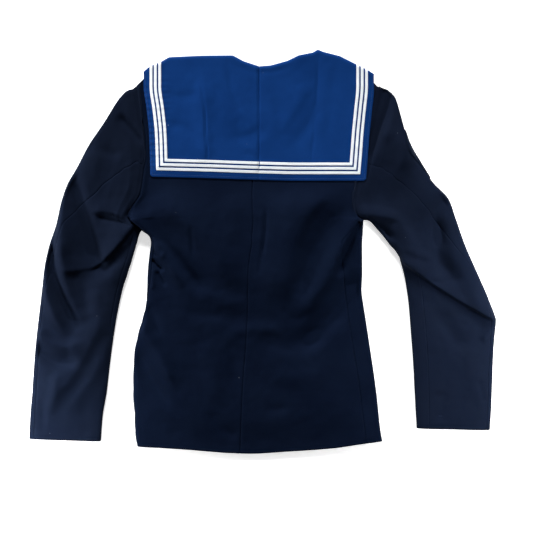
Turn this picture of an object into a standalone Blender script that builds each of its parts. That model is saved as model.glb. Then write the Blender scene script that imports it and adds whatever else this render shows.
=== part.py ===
"""Sailor jumper laid flat with its back upwards.

Each cut and sewn piece of cloth is a thin wall of its own.  X runs across the
garment, Y from hem to collar and Z upwards from the surface it lies on.  The
tables are in millimetres and the finished meshes in metres.
"""
import math

import bmesh
import bpy
import numpy as np

MM = 0.001

# Cloth thicknesses and the clearances between sewn and stacked pieces.
WOOL = 1.6
COLLAR_CLOTH = 1.4
TAPE_CLOTH = 0.6
PATCH_CLOTH = 1.0
LAYER_GAP = 0.3
TAPE_CLEARANCE = 0.2
SEAM_GAP = 0.4
ARMHOLE_GAP = 0.8
FOLD_SEAM_GAP = 1.8

# Middle heights of the stacked layers at the shoulders, floor upwards.
COLLAR_FRONT_Z = TAPE_CLEARANCE + TAPE_CLOTH + LAYER_GAP + COLLAR_CLOTH / 2
FRONT_HIGH_Z = COLLAR_FRONT_Z + COLLAR_CLOTH / 2 + LAYER_GAP + WOOL / 2
BACK_LOW_Z = FRONT_HIGH_Z + WOOL + LAYER_GAP
COLLAR_BACK_Z = BACK_LOW_Z + WOOL / 2 + LAYER_GAP + COLLAR_CLOTH / 2
FLOOR_Z = WOOL / 2

# Rolled edges of the flattened tubes.
BODY_ROLL = 14.0
SLEEVE_ROLL = 20.0
UNDER_ROLL = 6.0
BODY_REST = 3.6
SLEEVE_REST = 5.2
BODY_SETTLE = 55.0
SLEEVE_SETTLE = 40.0
EDGE_RISE = 3.4
ROLL_STEPS = 12
ROLL_WEIGHT = 5.0
LAYER_STEPS = 72
LINE_STEPS = 60

# Facets across each piece of the body.
BACK_LEFT_PARTS = 9
BACK_RIGHT_PARTS = 7
FRONT_SIDE_PARTS = 6
FRONT_PARTS = 3

# Tapes on the collar: width, distance in from the collar's edge.
TAPE_WIDTH = 4.6
TAPES = {"tape_outer": 13.2, "tape_middle": 20.6, "tape_inner": 28.0}

# Back and front above the underarm: armhole and centre seam at each level.
YOKE_COLUMNS = ("y", "left", "right", "centre", "crown")
YOKE = (
    (280, -214, 194, -8, BACK_LOW_Z),
    (247, -208, 185, -9, BACK_LOW_Z),
    (214, -203, 177, -10, BACK_LOW_Z),
    (181, -199, 169, -12, BACK_LOW_Z),
    (155, -200, 163, -14, BACK_LOW_Z),
    (135, -202, 160, -16, BACK_LOW_Z),
    (113, -205, 160, -17, BACK_LOW_Z),
    (96, -208, 158.5, -18, 6.0),
    (82, -217, 157, -17.5, 7.0),
    (70, -225, 157, -17, 7.8),
    (58, -231, 162, -16, 8.4),
)
HINDARM_LEVEL = 4
FRONT_ARMHOLE_LEVELS = (0, 4, 8, 10)
V_LEVEL = 9

# Body tube below the underarm.  The left seam lies that far in from the left
# edge, on top where positive and underneath where negative.
TORSO_COLUMNS = ("y", "left", "right", "left_seam", "centre", "right_seam", "crown")
TORSO = (
    (50, -221, 170.5, 4, -16, 157, 8.6),
    (36, -205, 169.5, 5, -17, 141, 9.0),
    (20, -189.5, 169, 6, -18, 133, 9.0),
    (-5, -192, 169, 6, -21, 134, 9.0),
    (-35, -195, 169, 6, -24.5, 137, 9.0),
    (-65, -196, 168, 3, -25, 139.5, 8.5),
    (-90, -198, 171, -1, -25.5, 142.5, 8.5),
    (-115, -204, 175, -4, -26, 146, 8.5),
    (-145, -212.5, 179.5, -7, -27.5, 150.5, 8.5),
    (-175, -218, 184, -9, -29.5, 155, 8.5),
    (-205, -219.5, 188.5, -11, -32, 160, 8.0),
    (-240, -220, 193, -13, -34.5, 165, 8.0),
    (-275, -217.5, 196.5, -15, -36, 169.5, 7.5),
    (-305, -216.5, 199.5, -18, -37, 173.5, 7.0),
    (-328, -213, 203, -20, -38, 176.5, 7.0),
)
HEM_COLUMNS = ("x", "drop")
HEM = ((-213, -2), (-131, -7), (-63, -12.5), (-18, -14), (35, -11), (119, -5), (173, 3), (203, 7))
HEM_EASE = 120.0

# Shoulder and neck line of the body pieces, under the collar.
SHOULDER_COLUMNS = ("x", "y")
SHOULDER = (
    (-214, 280), (-196, 298), (-168, 315), (-110, 323), (-55, 323), (-34, 309), (-6, 300),
    (20, 302), (44, 311), (62, 322), (94, 330), (135, 321), (165, 305), (183, 292), (194, 280),
)
SHOULDER_EASE = 99.0
CHEST_LOW_Y = 20.0
CHEST_RISE = 36.0
NECK_CENTRE = 4.0
NECK_HALF = 56.0

# Sleeves: sections from the armhole to the cuff, each from its outer fold to
# its inner fold, with the crown's height and how far the underside is lifted.
SLEEVE_COLUMNS = ("outer_x", "outer_y", "inner_x", "inner_y", "crown", "lift")
LEFT_SLEEVE = (
    (-214, 282, -215, 33, 8.0, 2.6),
    (-228, 266, -217, 25, 8.0, 1.6),
    (-244, 249, -215, 22, 12.0, 0.3),
    (-270, 215, -216, 14, 14.0, 0.0),
    (-293, 183, -217, 6, 14.0, 0.0),
    (-315, 142, -219, -3, 14.0, 0.0),
    (-332, 112, -221, -12, 14.0, 0.0),
    (-342, 82, -223, -20, 14.0, 0.0),
    (-350, 46, -226, -29, 15.0, 0.0),
    (-362, 10, -230, -42, 15.0, 0.0),
    (-370, -27, -236, -60, 14.0, 0.0),
    (-374, -62, -242, -85, 12.0, 0.0),
    (-379, -105, -249, -122, 11.0, 0.0),
    (-384, -148, -254, -156, 10.5, 0.0),
    (-388, -194, -259, -195, 10.0, 0.0),
    (-391, -240, -264, -238, 9.5, 0.0),
    (-394.5, -282, -271, -280, 9.0, 0.0),
    (-396, -317, -274, -321, 9.0, 0.0),
)
RIGHT_SLEEVE = (
    (194, 282, 174, 56, 8.0, 2.6),
    (206, 275, 177, 54, BACK_LOW_Z, 1.3),
    (224, 253, 183, 49, 10.0, 1.3),
    (235, 214, 190, 42, 13.0, 1.5),
    (249, 182, 196, 35, 14.0, 1.5),
    (268, 149, 203, 27, 14.0, 1.5),
    (289, 117, 210, 18, 14.0, 1.5),
    (314, 88, 217, 9, 14.0, 0.0),
    (328, 55, 223, 3, 15.0, 0.0),
    (343, 12, 228, -4, 16.0, 0.0),
    (362, -32, 230, -7, 17.0, 0.0),
    (382, -78, 231.5, -9, 18.0, 0.0),
    (396, -116, 232.5, -12, 17.0, 0.0),
    (396, -121, 233.5, -16, 10.0, 0.0),
    (393, -150, 240, -40, 10.5, 0.0),
    (391, -180, 247, -84, 11.0, 0.0),
    (390, -214, 251, -132, 11.0, 0.0),
    (388.5, -250, 255, -186, 10.5, 0.0),
    (387, -280, 258, -244, 10.0, 0.0),
    (385.5, -302, 261, -299, 9.0, 0.0),
)
SEAM_COLUMNS = ("x", "y")
LEFT_HINDARM = (
    (-200, 155), (-234, 140), (-268, 114), (-302, 84), (-331, 53), (-345, 30), (-356, -23),
    (-364, -45), (-371, -90), (-377, -150), (-382, -220), (-388, -330),
)
LEFT_FOREARM = (
    (-217, 34), (-222, 18), (-226, 2), (-232, -20), (-240, -42), (-246, -65), (-252, -92),
    (-258, -130), (-264, -190), (-270, -245), (-278, -330),
)
RIGHT_HINDARM = (
    (163, 155), (208, 136), (242, 109), (268, 84), (290, 57), (315, 21), (341, -11), (361, -42),
    (375, -75), (386, -112), (386, -130), (383, -180), (381, -240), (379, -310),
)
RIGHT_FOREARM = (
    (176, 58), (188, 50), (202, 36), (214, 22), (225, 10), (236, 0), (249, -13), (258, -27), (266, -42),
    (271, -83), (274, -117), (278, -159), (280, -202), (281, -253), (281, -310),
)
UNDERSIDE_PARTS = 6
INNER_PARTS = 2
FOREARM_INSET = 4.0
UNDERARM_FACET = (3.0, 2.0)
BOW_COLUMNS = ("share", "distance")
BOW = {
    "left": ((1.0, 9), (0.8, 22), (0.6, 36), (0.4, 50), (0.2, 64)),
    "right": ((1.0, 18), (0.8, 28), (0.6, 40), (0.35, 52), (0.15, 64)),
}

# Main folds: a ridge where the height is positive, a trough where negative.
FOLD_COLUMNS = ("x0", "y0", "x1", "y1", "x2", "y2", "width", "height")
BODY_FOLDS = (
    (-225, 62, -191, 30, -132, -57, 15, 7.0),
    (-200, 66, -140, 40, -47, -78, 15, -5.0),
    (-208, -139, -174, -188, -140, -235, 18, 6.0),
    (-220, -170, -200, -215, -170, -262, 14, -4.0),
    (162, 57, 132, 19, 64, -83, 15, 6.5),
    (123, 87, 60, 2, 38, -100, 15, -5.0),
    (132, -74, 98, -117, 13, -151, 16, -4.0),
    (150, 40, 140, 2, 132, -30, 9, -4.5),
)
LEFT_SLEEVE_FOLDS = (
    (-239, 223, -224, 208, -208, 190, 14, -6.0),
    (-300, 74, -270, 78, -228, 60, 13, 7.0),
    (-297, 70, -285, 36, -268, 2, 12, 7.0),
    (-327, 118, -316, 60, -319, 19, 12, -7.0),
    (-349, 40, -341, -30, -319, -108, 12, 6.0),
    (-336, -244, -305, -205, -276, -164, 22, -3.5),
)
RIGHT_SLEEVE_FOLDS = (
    (217, 268, 200, 215, 186, 168, 13, -6.0),
    (315, 84, 304, 45, 322, -30, 13, -7.0),
    (168, 64, 195, 66, 222, 58, 11, 5.0),
    (190, 47, 215, 44, 235, 20, 12, -5.0),
    (345, -20, 362, -60, 380, -96, 16, 4.0),
)
FOLD_STEPS = 12
FOLD_TAPER = 0.6
FOLD_FREE = 1.5
LEAST_HOLLOW = WOOL + LAYER_GAP

# Collar: side edges by level, top and bottom edges across.
COLLAR_SIDE_COLUMNS = ("y", "left", "right")
COLLAR_SIDES = (
    (119, -190.5, 175), (160, -191.5, 178.5), (200, -193, 181.5), (240, -197, 185.5),
    (280, -202, 189), (340, -202, 189),
)
COLLAR_TOP_COLUMNS = ("x", "y")
COLLAR_TOP = (
    (-202, 305), (-190, 315), (-173, 321), (-159, 329), (-102, 331.5), (-51, 332), (-47, 330),
    (-32, 322), (-6, 313.5), (14, 315), (43, 323), (57, 330), (61, 332), (86, 337), (94, 342),
    (103, 338), (131, 331), (159, 317), (176, 309), (189, 301),
)
COLLAR_BOTTOM_COLUMNS = ("x", "y")
COLLAR_BOTTOM = ((-190.5, 126.5), (-94, 124), (-6, 121), (64, 119.5), (175, 119.5))
COLLAR_LEVELS = (0.0, 0.18, 0.4, 0.62, 0.82, 1.0)
NECK_FIRST = 6
NECK_LAST = 11
COLLAR_ROLL_ANGLES = (90, 45, 0, -45, -90)
NECK_ROLL_ANGLES = (45, 0, -30)
NECK_ALLOWANCE = 6.0
COLLAR_HOLD = 20.0
TAPE_TURN_Y = {"left": 300.0, "right": 297.0}
TAPE_TIP_INSET = 2.2
TAPE_RUN = (0.33, 0.66, 1.0)
FRONT_LEVELS = (0.12, 0.4, 0.7, 1.0)
LEFT_FRONT_TIP = ((-14, 64), (-13, 84))
RIGHT_FRONT_TIP = ((-5, 64), (-6, 84))

# Plain patch on the right sleeve, over its outer fold: at each place along the
# sleeve, its share of the facets above the fold and its last facet beneath.
PATCH_COLUMNS = ("section", "top", "under")
PATCH = (
    (3.1, 0.25, 0.3), (3.4, 0.75, 0.7), (4.0, 1.0, 0.8), (4.5, 0.95, 0.8), (5.0, 0.7, 0.7), (5.4, 0.3, 0.3),
)
PATCH_FOLD = 5
PATCH_FACETS = 3

NAVY_WOOL = (0.010, 0.015, 0.030, 1.0)
COLLAR_BLUE = (0.008, 0.040, 0.150, 1.0)
TAPE_WHITE = (0.85, 0.88, 0.90, 1.0)


def columns(names, rows):
    """Named columns of a table, as arrays."""
    table = np.array(rows, dtype=float)
    return {name: table[:, i] for i, name in enumerate(names)}


YOKE_AT = columns(YOKE_COLUMNS, YOKE)
TORSO_AT = columns(TORSO_COLUMNS, TORSO)
HEM_AT = columns(HEM_COLUMNS, HEM)
SHOULDER_AT = columns(SHOULDER_COLUMNS, SHOULDER)
SIDES_AT = columns(COLLAR_SIDE_COLUMNS, COLLAR_SIDES)
TOP_AT = columns(COLLAR_TOP_COLUMNS, COLLAR_TOP)
BOTTOM_AT = columns(COLLAR_BOTTOM_COLUMNS, COLLAR_BOTTOM)


def material(name, colour):
    """Principled material of one cloth."""
    cloth = bpy.data.materials.new(name)
    cloth.use_nodes = True
    shader = cloth.node_tree.nodes["Principled BSDF"]
    shader.inputs["Base Color"].default_value = colour
    shader.inputs["Roughness"].default_value = 0.9
    shader.inputs["Metallic"].default_value = 0.0
    return cloth


def wall(name, grids, thickness, colour):
    """One cloth piece: sheets that share their meeting points, given a wall."""
    mesh = bpy.data.meshes.new(name)
    sheet = bmesh.new()
    for grid in grids:
        rows = [[sheet.verts.new([c * MM for c in point]) for point in row] for row in grid]
        for near, far in zip(rows, rows[1:]):
            for i in range(len(near) - 1):
                sheet.faces.new((near[i], near[i + 1], far[i + 1], far[i]))
    bmesh.ops.remove_doubles(sheet, verts=sheet.verts, dist=0.00005)
    bmesh.ops.recalc_face_normals(sheet, faces=sheet.faces)
    sheet.to_mesh(mesh)
    sheet.free()
    mesh.shade_smooth()
    piece = bpy.data.objects.new(name, mesh)
    GARMENT.objects.link(piece)
    piece.data.materials.append(material(name + "_cloth", colour))
    solid = piece.modifiers.new("wall", "SOLIDIFY")
    solid.thickness = thickness * MM
    solid.offset = 0.0
    return piece


def fold_height(points, folds, free):
    """Sum of the fold table's ridges and troughs, where the cloth is free."""
    total = np.zeros(len(points))
    steps = np.linspace(0.0, 1.0, FOLD_STEPS)
    for row in folds:
        fold = dict(zip(FOLD_COLUMNS, row))
        ends = [np.array([fold["x%d" % i], fold["y%d" % i]]) for i in range(3)]
        path = np.array([(1 - s) ** 2 * ends[0] + 2 * s * (1 - s) * ends[1] + s * s * ends[2] for s in steps])
        away = np.linalg.norm(points[:, None, :2] - path[None], axis=2)
        nearest = away.argmin(axis=1)
        taper = np.sin(math.pi * (nearest + 1) / (FOLD_STEPS + 1)) ** FOLD_TAPER
        total += fold["height"] * taper * np.exp(-(away.min(axis=1) / fold["width"]) ** 2)
    return total * free


def ease(share):
    """Smooth change from 0 to 1."""
    share = np.clip(share, 0, 1)
    return share ** 2 * (3 - 2 * share)


def roll_profile(distance, radius):
    """Rise of a rounded edge: 0 at the fold, 1 from the radius inwards."""
    inside = 1 - np.minimum(distance, radius) / radius
    return np.sqrt(1 - inside ** 2)


class Section:
    """Closed loop of a flattened tube: over the top and back underneath."""

    def __init__(self, top_line, under_line, crown, floor, rise, radius, rest, settle, folds):
        self.top = self.layer(top_line, floor + rise, crown, radius)
        settled = ease((self.inset(self.top) - radius) / settle)
        self.top[:, 2] -= (crown - rest) * settled
        self.under = self.layer(under_line, floor + rise, floor, UNDER_ROLL)
        free = ease(self.inset(self.top) / (FOLD_FREE * radius))
        shaped = self.top[:, 2] + fold_height(self.top, folds, free)
        least = floor + rise * (1 - roll_profile(self.inset(self.top), UNDER_ROLL)) + LEAST_HOLLOW * free
        self.top[:, 2] = np.maximum(shaped, least)

    @staticmethod
    def inset(layer):
        """Distance of each point from the nearer fold of the tube."""
        along = np.r_[0, np.cumsum(np.linalg.norm(np.diff(layer[:, :2], axis=0), axis=1))]
        return np.minimum(along, along[-1] - along)

    @staticmethod
    def layer(line, edge_z, level_z, radius):
        """Points across one layer, close together on its rounded edges."""
        line = np.array(line, dtype=float)
        along = np.r_[0, np.cumsum(np.linalg.norm(np.diff(line, axis=0), axis=1))]
        width = along[-1]
        turn = radius * (1 - np.cos(np.linspace(0, math.pi / 2, ROLL_STEPS)))
        place = np.r_[turn, np.linspace(radius, width - radius, LAYER_STEPS)[1:-1], width - turn[::-1]]
        x = np.interp(place, along, line[:, 0])
        y = np.interp(place, along, line[:, 1])
        z = edge_z + (level_z - edge_z) * roll_profile(np.minimum(place, width - place), radius)
        return np.column_stack([x, y, z])

    def loop(self):
        """The whole loop, starting at the outer or left fold."""
        return np.vstack([self.top, self.under[-2::-1]])

    def spread(self, start, end, parts):
        """Loop lengths from one place to another, closer together on the folds."""
        loop = self.loop()
        steps = np.linalg.norm(np.diff(loop, axis=0), axis=1)
        inset = np.r_[self.inset(self.top)[1:], self.inset(self.under)[::-1][1:]]
        weight = steps * (1 + ROLL_WEIGHT * np.exp(-(inset / SLEEVE_ROLL) ** 2))
        length = np.r_[0, np.cumsum(steps)]
        effort = np.r_[0, np.cumsum(weight)]
        ends = [np.interp(s % length[-1], length, effort) + effort[-1] * (s // length[-1]) for s in (start, end)]
        places = np.linspace(ends[0], ends[1], parts + 1)
        return np.interp(places % effort[-1], effort, length) + length[-1] * (places // effort[-1])

    def points(self, places):
        """Points at the given loop lengths."""
        loop = self.loop()
        length = np.r_[0, np.cumsum(np.linalg.norm(np.diff(loop, axis=0), axis=1))]
        return np.column_stack([np.interp(places % length[-1], length, loop[:, i]) for i in range(3)])

    def strip(self, start, end, parts):
        """Points from one place to another along the loop."""
        return self.points(self.spread(start, end, parts))

    def top_place(self, inset_left):
        """Loop length at a place on the top layer, from the left or outer fold."""
        along = np.r_[0, np.cumsum(np.linalg.norm(np.diff(self.top, axis=0), axis=1))]
        flat = np.r_[0, np.cumsum(np.linalg.norm(np.diff(self.top[:, :2], axis=0), axis=1))]
        return float(np.interp(inset_left, flat, along))

    def under_place(self, inset_left):
        """Loop length at a place on the under layer, from the left or outer fold."""
        along = np.r_[0, np.cumsum(np.linalg.norm(np.diff(self.under, axis=0), axis=1))]
        flat = np.r_[0, np.cumsum(np.linalg.norm(np.diff(self.under[:, :2], axis=0), axis=1))]
        return self.length() - float(np.interp(inset_left, flat, along))

    def half_width(self):
        """Width of the top layer from fold to fold, seen from above."""
        return float(np.linalg.norm(np.diff(self.top[:, :2], axis=0), axis=1).sum())

    def half(self):
        """Loop length at the right or inner fold."""
        return float(np.linalg.norm(np.diff(self.top, axis=0), axis=1).sum())

    def length(self):
        """Length round the whole loop."""
        return float(np.linalg.norm(np.diff(self.loop(), axis=0), axis=1).sum())


def shoulder_lift(x, y):
    """How far the body pieces reach above their last level, up to the shoulder."""
    share = np.clip((y - YOKE_AT["y"][3]) / SHOULDER_EASE, 0, 1)
    return (np.interp(x, SHOULDER_AT["x"], SHOULDER_AT["y"]) - YOKE_AT["y"][0]) * share


def hem_drop(x, y):
    """How far the cloth hangs below its level, growing towards the hem."""
    share = np.clip((TORSO_AT["y"][-1] + HEM_EASE - y) / HEM_EASE, 0, 1)
    return np.interp(x, HEM_AT["x"], HEM_AT["drop"]) * share


def torso_sections():
    """Sections of the body tube from the underarm to the hem."""
    sections = []
    for i, y in enumerate(TORSO_AT["y"]):
        left = TORSO_AT["left"][i] + WOOL / 2
        right = TORSO_AT["right"][i] - WOOL / 2
        across = np.linspace(left, right, LINE_STEPS)
        line = np.column_stack([across, y + hem_drop(across, y)])
        floor = float(front_level(y))
        rest = max(BODY_REST, floor + LEAST_HOLLOW)
        sections.append(Section(line, line, TORSO_AT["crown"][i], floor, EDGE_RISE, BODY_ROLL, rest,
                                BODY_SETTLE, BODY_FOLDS))
    return sections


def yoke_row(level, start, end, parts):
    """Row of the back above the underarm, flat where the collar lies on it."""
    y = YOKE_AT["y"][level]
    across = np.linspace(start, end, parts + 1)
    ends = np.minimum(across - YOKE_AT["left"][level], YOKE_AT["right"][level] - across)
    z = BACK_LOW_Z + (YOKE_AT["crown"][level] - BACK_LOW_Z) * (1 - ease(ends / BODY_SETTLE))
    row = np.column_stack([across, y + shoulder_lift(across, y), z])
    free = ease((COLLAR_BOTTOM[-1][1] - COLLAR_HOLD - y) / COLLAR_HOLD) * ease(ends / BODY_SETTLE)
    row[:, 2] = np.maximum(z + fold_height(row, BODY_FOLDS, free), BACK_LOW_Z)
    return row


def back_pieces():
    """The two halves of the back, from the shoulders to the hem."""
    half_gap = SEAM_GAP / 2
    fold_gap = FOLD_SEAM_GAP / 2
    left_rows = []
    right_rows = []
    for level in range(len(YOKE)):
        centre = YOKE_AT["centre"][level]
        left_rows.append(yoke_row(level, YOKE_AT["left"][level], centre - half_gap, BACK_LEFT_PARTS))
        right_rows.append(yoke_row(level, centre + half_gap, YOKE_AT["right"][level], BACK_RIGHT_PARTS))
    for i, section in enumerate(torso_sections()):
        left_edge = TORSO_AT["left"][i] + WOOL / 2
        centre = section.top_place(TORSO_AT["centre"][i] - left_edge)
        seam = TORSO_AT["left_seam"][i]
        left = section.top_place(seam) if seam >= 0 else section.under_place(-seam) - section.length()
        right = section.top_place(TORSO_AT["right_seam"][i] - left_edge)
        left_rows.append(section.strip(left + fold_gap, centre - half_gap, BACK_LEFT_PARTS))
        right_rows.append(section.strip(centre + half_gap, right - fold_gap, BACK_RIGHT_PARTS))
    wall("back_left", [left_rows], WOOL, NAVY_WOOL)
    wall("back_right", [right_rows], WOOL, NAVY_WOOL)


def front_armhole(side, level):
    """Place of the front's armhole at a level, straight between its corners."""
    corners = list(FRONT_ARMHOLE_LEVELS)
    return float(np.interp(-YOKE_AT["y"][level], -YOKE_AT["y"][corners], YOKE_AT[side][corners]))


def front_level(y):
    """Height of the front, which lies on the collar's ends at the chest."""
    return FLOOR_Z + (FRONT_HIGH_Z - FLOOR_Z) * np.clip((y - CHEST_LOW_Y) / CHEST_RISE, 0, 1)


def front_piece():
    """The front, round both sides to the side seams, with its V neck."""
    half_gap = SEAM_GAP / 2
    lower = []
    for i, section in enumerate(torso_sections()):
        left_edge = TORSO_AT["left"][i] + WOOL / 2
        right = section.top_place(TORSO_AT["right_seam"][i] - left_edge)
        seam = TORSO_AT["left_seam"][i]
        whole = section.length()
        left = whole + section.top_place(seam) if seam >= 0 else section.under_place(-seam)
        wide = TORSO_AT["right"][i] - TORSO_AT["left"][i] - WOOL
        right_base = section.under_place(wide - UNDER_ROLL)
        left_base = section.under_place(max(UNDER_ROLL, -seam + UNDER_ROLL / 2))
        centre = section.under_place(TORSO_AT["centre"][i] - left_edge)
        over_right = section.strip(right + half_gap, right_base, FRONT_SIDE_PARTS)
        under_right = section.strip(right_base, centre, FRONT_PARTS)
        under_left = section.strip(centre, left_base, FRONT_PARTS)
        over_left = section.strip(left_base, left - FOLD_SEAM_GAP / 2, FRONT_PARTS)
        lower.append(np.vstack([over_right, under_right[1:], under_left[1:], over_left[1:]]))
    right_half = []
    left_half = []
    for level in range(len(YOKE)):
        y = YOKE_AT["y"][level]
        spread = np.clip((y - YOKE_AT["y"][V_LEVEL]) / (YOKE_AT["y"][0] - YOKE_AT["y"][V_LEVEL]), 0, 1)
        middle = YOKE_AT["centre"][level] + (NECK_CENTRE - YOKE_AT["centre"][level]) * spread
        half = NECK_HALF * spread
        z = front_level(y)
        armhole_right = front_armhole("right", level)
        armhole_left = front_armhole("left", level)
        right_half.append(yoke_row_flat(level, armhole_right, middle + half, z))
        left_half.append(yoke_row_flat(level, middle - half, armhole_left, z))
    joint = lower[0][FRONT_SIDE_PARTS:]
    right_half.append(joint[:FRONT_PARTS + 1])
    left_half.append(joint[FRONT_PARTS:2 * FRONT_PARTS + 1])
    wall("front", [lower, right_half, left_half], WOOL, NAVY_WOOL)


def yoke_row_flat(level, start, end, z):
    """Row of the front above the underarm."""
    y = YOKE_AT["y"][level]
    across = np.linspace(start, end, FRONT_PARTS + 1)
    return np.column_stack([across, y + shoulder_lift(across, y), np.full(FRONT_PARTS + 1, z)])


def crossing(section, seam):
    """Distance from a section's outer fold to where a seam crosses its top layer."""
    line = section.top[:, :2]
    along = np.r_[0, np.cumsum(np.linalg.norm(np.diff(line, axis=0), axis=1))]
    path = np.array(seam, dtype=float)
    fine = np.vstack([np.linspace(a, b, 20) for a, b in zip(path, path[1:])])
    away = np.linalg.norm(line[:, None] - fine[None], axis=2).min(axis=1)
    return float(along[away.argmin()])


def armhole(side):
    """Corners of the sleeve's first section, along the back's and the front's armhole."""
    gap = ARMHOLE_GAP if side == "right" else -ARMHOLE_GAP
    y = YOKE_AT["y"]
    corners = list(FRONT_ARMHOLE_LEVELS)
    back = offset_line(np.column_stack([YOKE_AT[side], y]), gap)
    front = offset_line([(front_armhole(side, i), y[i]) for i in corners], gap)
    return np.column_stack([back, YOKE_AT["crown"]]), np.column_stack([front, front_level(y[corners])])


def bowed(start, end, shape, share, distance):
    """A line across the sleeve, blended with the armhole's curve moved outwards."""
    steps = np.linspace(0, 1, LINE_STEPS)[:, None]
    curve = offset_line(shape, distance)
    curve[0] = start
    curve[-1] = end
    along = np.r_[0, np.cumsum(np.linalg.norm(np.diff(curve, axis=0), axis=1))]
    even = np.column_stack([np.interp(steps[:, 0] * along[-1], along, curve[:, i]) for i in range(2)])
    return (start + (end - start) * steps) * (1 - share) + even * share


def sleeve(side, table, hindarm, forearm, folds):
    """Top sleeve and under sleeve of one arm; returns the top sleeve's rows."""
    at = columns(SLEEVE_COLUMNS, table)
    out = -1 if side == "left" else 1
    back, front = armhole(side)
    shoulder = np.array([at["outer_x"][0], at["outer_y"][0], (BACK_LOW_Z + FRONT_HIGH_Z) / 2])
    underarm = np.array([at["inner_x"][0], at["inner_y"][0], FLOOR_Z + EDGE_RISE])
    base = underarm + np.array([-out * UNDERARM_FACET[0], UNDERARM_FACET[1], -EDGE_RISE])
    split = np.array([0, SEAM_GAP / 2, 0])
    upper = back[:HINDARM_LEVEL + 1][::-1].copy()
    upper[0] += split
    lower = back[HINDARM_LEVEL:].copy()
    lower[0] -= split
    reach = (underarm - back[-1]) / np.linalg.norm(underarm - back[-1])
    under_end = underarm - reach * FOREARM_INSET
    top_end = under_end + reach * FOLD_SEAM_GAP
    top_rows = [np.vstack([upper, shoulder, front, base, underarm, (underarm + top_end) / 2, top_end])]
    under_rows = [np.vstack([lower, under_end])]
    top_shape = np.vstack([shoulder[:2], back[:, :2], underarm[:2]])
    under_shape = np.vstack([shoulder[:2], front[:, :2], underarm[:2]])
    run = np.r_[0, np.cumsum(np.linalg.norm(np.diff(top_shape, axis=0), axis=1))]
    fractions = run[1:-1] / run[-1]
    for k in range(1, len(table)):
        share, distance = BOW[side][k - 1] if k <= len(BOW[side]) else (0.0, 0.0)
        start = np.array([at["outer_x"][k], at["outer_y"][k]])
        end = np.array([at["inner_x"][k], at["inner_y"][k]])
        inward = (end - start) / np.linalg.norm(end - start)
        start = start + inward * WOOL / 2
        end = end - inward * WOOL / 2
        section = Section(bowed(start, end, top_shape, share, out * distance),
                          bowed(start, end, under_shape, share, out * distance),
                          at["crown"][k], FLOOR_Z + at["lift"][k], EDGE_RISE, SLEEVE_ROLL,
                          min(at["crown"][k], SLEEVE_REST + at["lift"][k]), SLEEVE_SETTLE, folds)
        from_fold = crossing(section, hindarm)
        hind_gap = (FOLD_SEAM_GAP if from_fold < SLEEVE_ROLL else SEAM_GAP) / 2
        hind = section.top_place(from_fold)
        fore = section.top_place(crossing(section, forearm))
        whole = section.length()
        half = section.half()
        width = section.half_width()
        like_armhole = np.array([section.top_place(f * width) for f in fractions])
        over = section.spread(hind - hind_gap, 0, HINDARM_LEVEL + 1)
        over[1:-1] += (like_armhole[HINDARM_LEVEL - 1::-1] - over[1:-1]) * share
        below_hind = section.spread(hind + hind_gap, fore - FOLD_SEAM_GAP / 2, len(lower))
        below_hind[1:-1] += (like_armhole[HINDARM_LEVEL + 1:] - below_hind[1:-1]) * share
        below = section.strip(whole, half, UNDERSIDE_PARTS)
        inner = section.strip(half, fore + FOLD_SEAM_GAP / 2, INNER_PARTS)
        top_rows.append(np.vstack([section.points(over), below[1:], inner[1:]]))
        under_rows.append(section.points(below_hind))
    wall("top_sleeve_" + side, [top_rows], WOOL, NAVY_WOOL)
    wall("under_sleeve_" + side, [under_rows], WOOL, NAVY_WOOL)
    return top_rows


def collar_edge_y(x, table):
    """Height of one of the collar's edges at a place across it."""
    return float(np.interp(x, table["x"], table["y"]))


def collar_piece():
    """Square collar flap on the back, rolled over the neck and shoulders to the front."""
    radius = (COLLAR_BACK_Z - COLLAR_FRONT_Z) / 2
    middle_z = (COLLAR_BACK_Z + COLLAR_FRONT_Z) / 2
    tops = TOP_AT["x"].copy()
    rolls = TOP_AT["y"] - radius - COLLAR_CLOTH / 2
    share = (tops - tops[0]) / (tops[-1] - tops[0])
    flap = []
    for level in COLLAR_LEVELS:
        y_mid = COLLAR_BOTTOM[0][1] * (1 - level) + rolls[0] * level
        left = np.interp(y_mid, SIDES_AT["y"], SIDES_AT["left"]) + COLLAR_CLOTH / 2
        right = np.interp(y_mid, SIDES_AT["y"], SIDES_AT["right"]) - COLLAR_CLOTH / 2
        x = left + share * (right - left)
        low = np.interp(x, BOTTOM_AT["x"], BOTTOM_AT["y"])
        flap.append(np.column_stack([x, low + (rolls - low) * level, np.full(len(x), COLLAR_BACK_Z)]))
    x = flap[-1][:, 0]
    turn = []
    for angle in COLLAR_ROLL_ANGLES:
        a = math.radians(angle)
        turn.append(np.column_stack([x, rolls + radius * math.cos(a), np.full(len(x), middle_z + radius * math.sin(a))]))
    left_end = front_end([row[:NECK_FIRST] for row in turn], LEFT_FRONT_TIP)
    right_end = front_end([row[NECK_LAST + 1:][::-1] for row in turn], RIGHT_FRONT_TIP)
    stand = [turn[0][NECK_FIRST:NECK_LAST + 1]]
    for angle in NECK_ROLL_ANGLES:
        a = math.radians(angle)
        row = stand[0].copy()
        row[:, 1] += radius * math.cos(a)
        row[:, 2] = middle_z + radius * math.sin(a)
        stand.append(row)
    under_neck = stand[0].copy()
    under_neck[:, 1] = np.interp(under_neck[:, 0], SHOULDER_AT["x"], SHOULDER_AT["y"]) - NECK_ALLOWANCE
    under_neck[:, 2] = BACK_LOW_Z - WOOL / 2 - LAYER_GAP - COLLAR_CLOTH / 2
    stand.append(under_neck)
    wall("collar", [flap, left_end, right_end, stand], COLLAR_CLOTH, COLLAR_BLUE)


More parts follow.
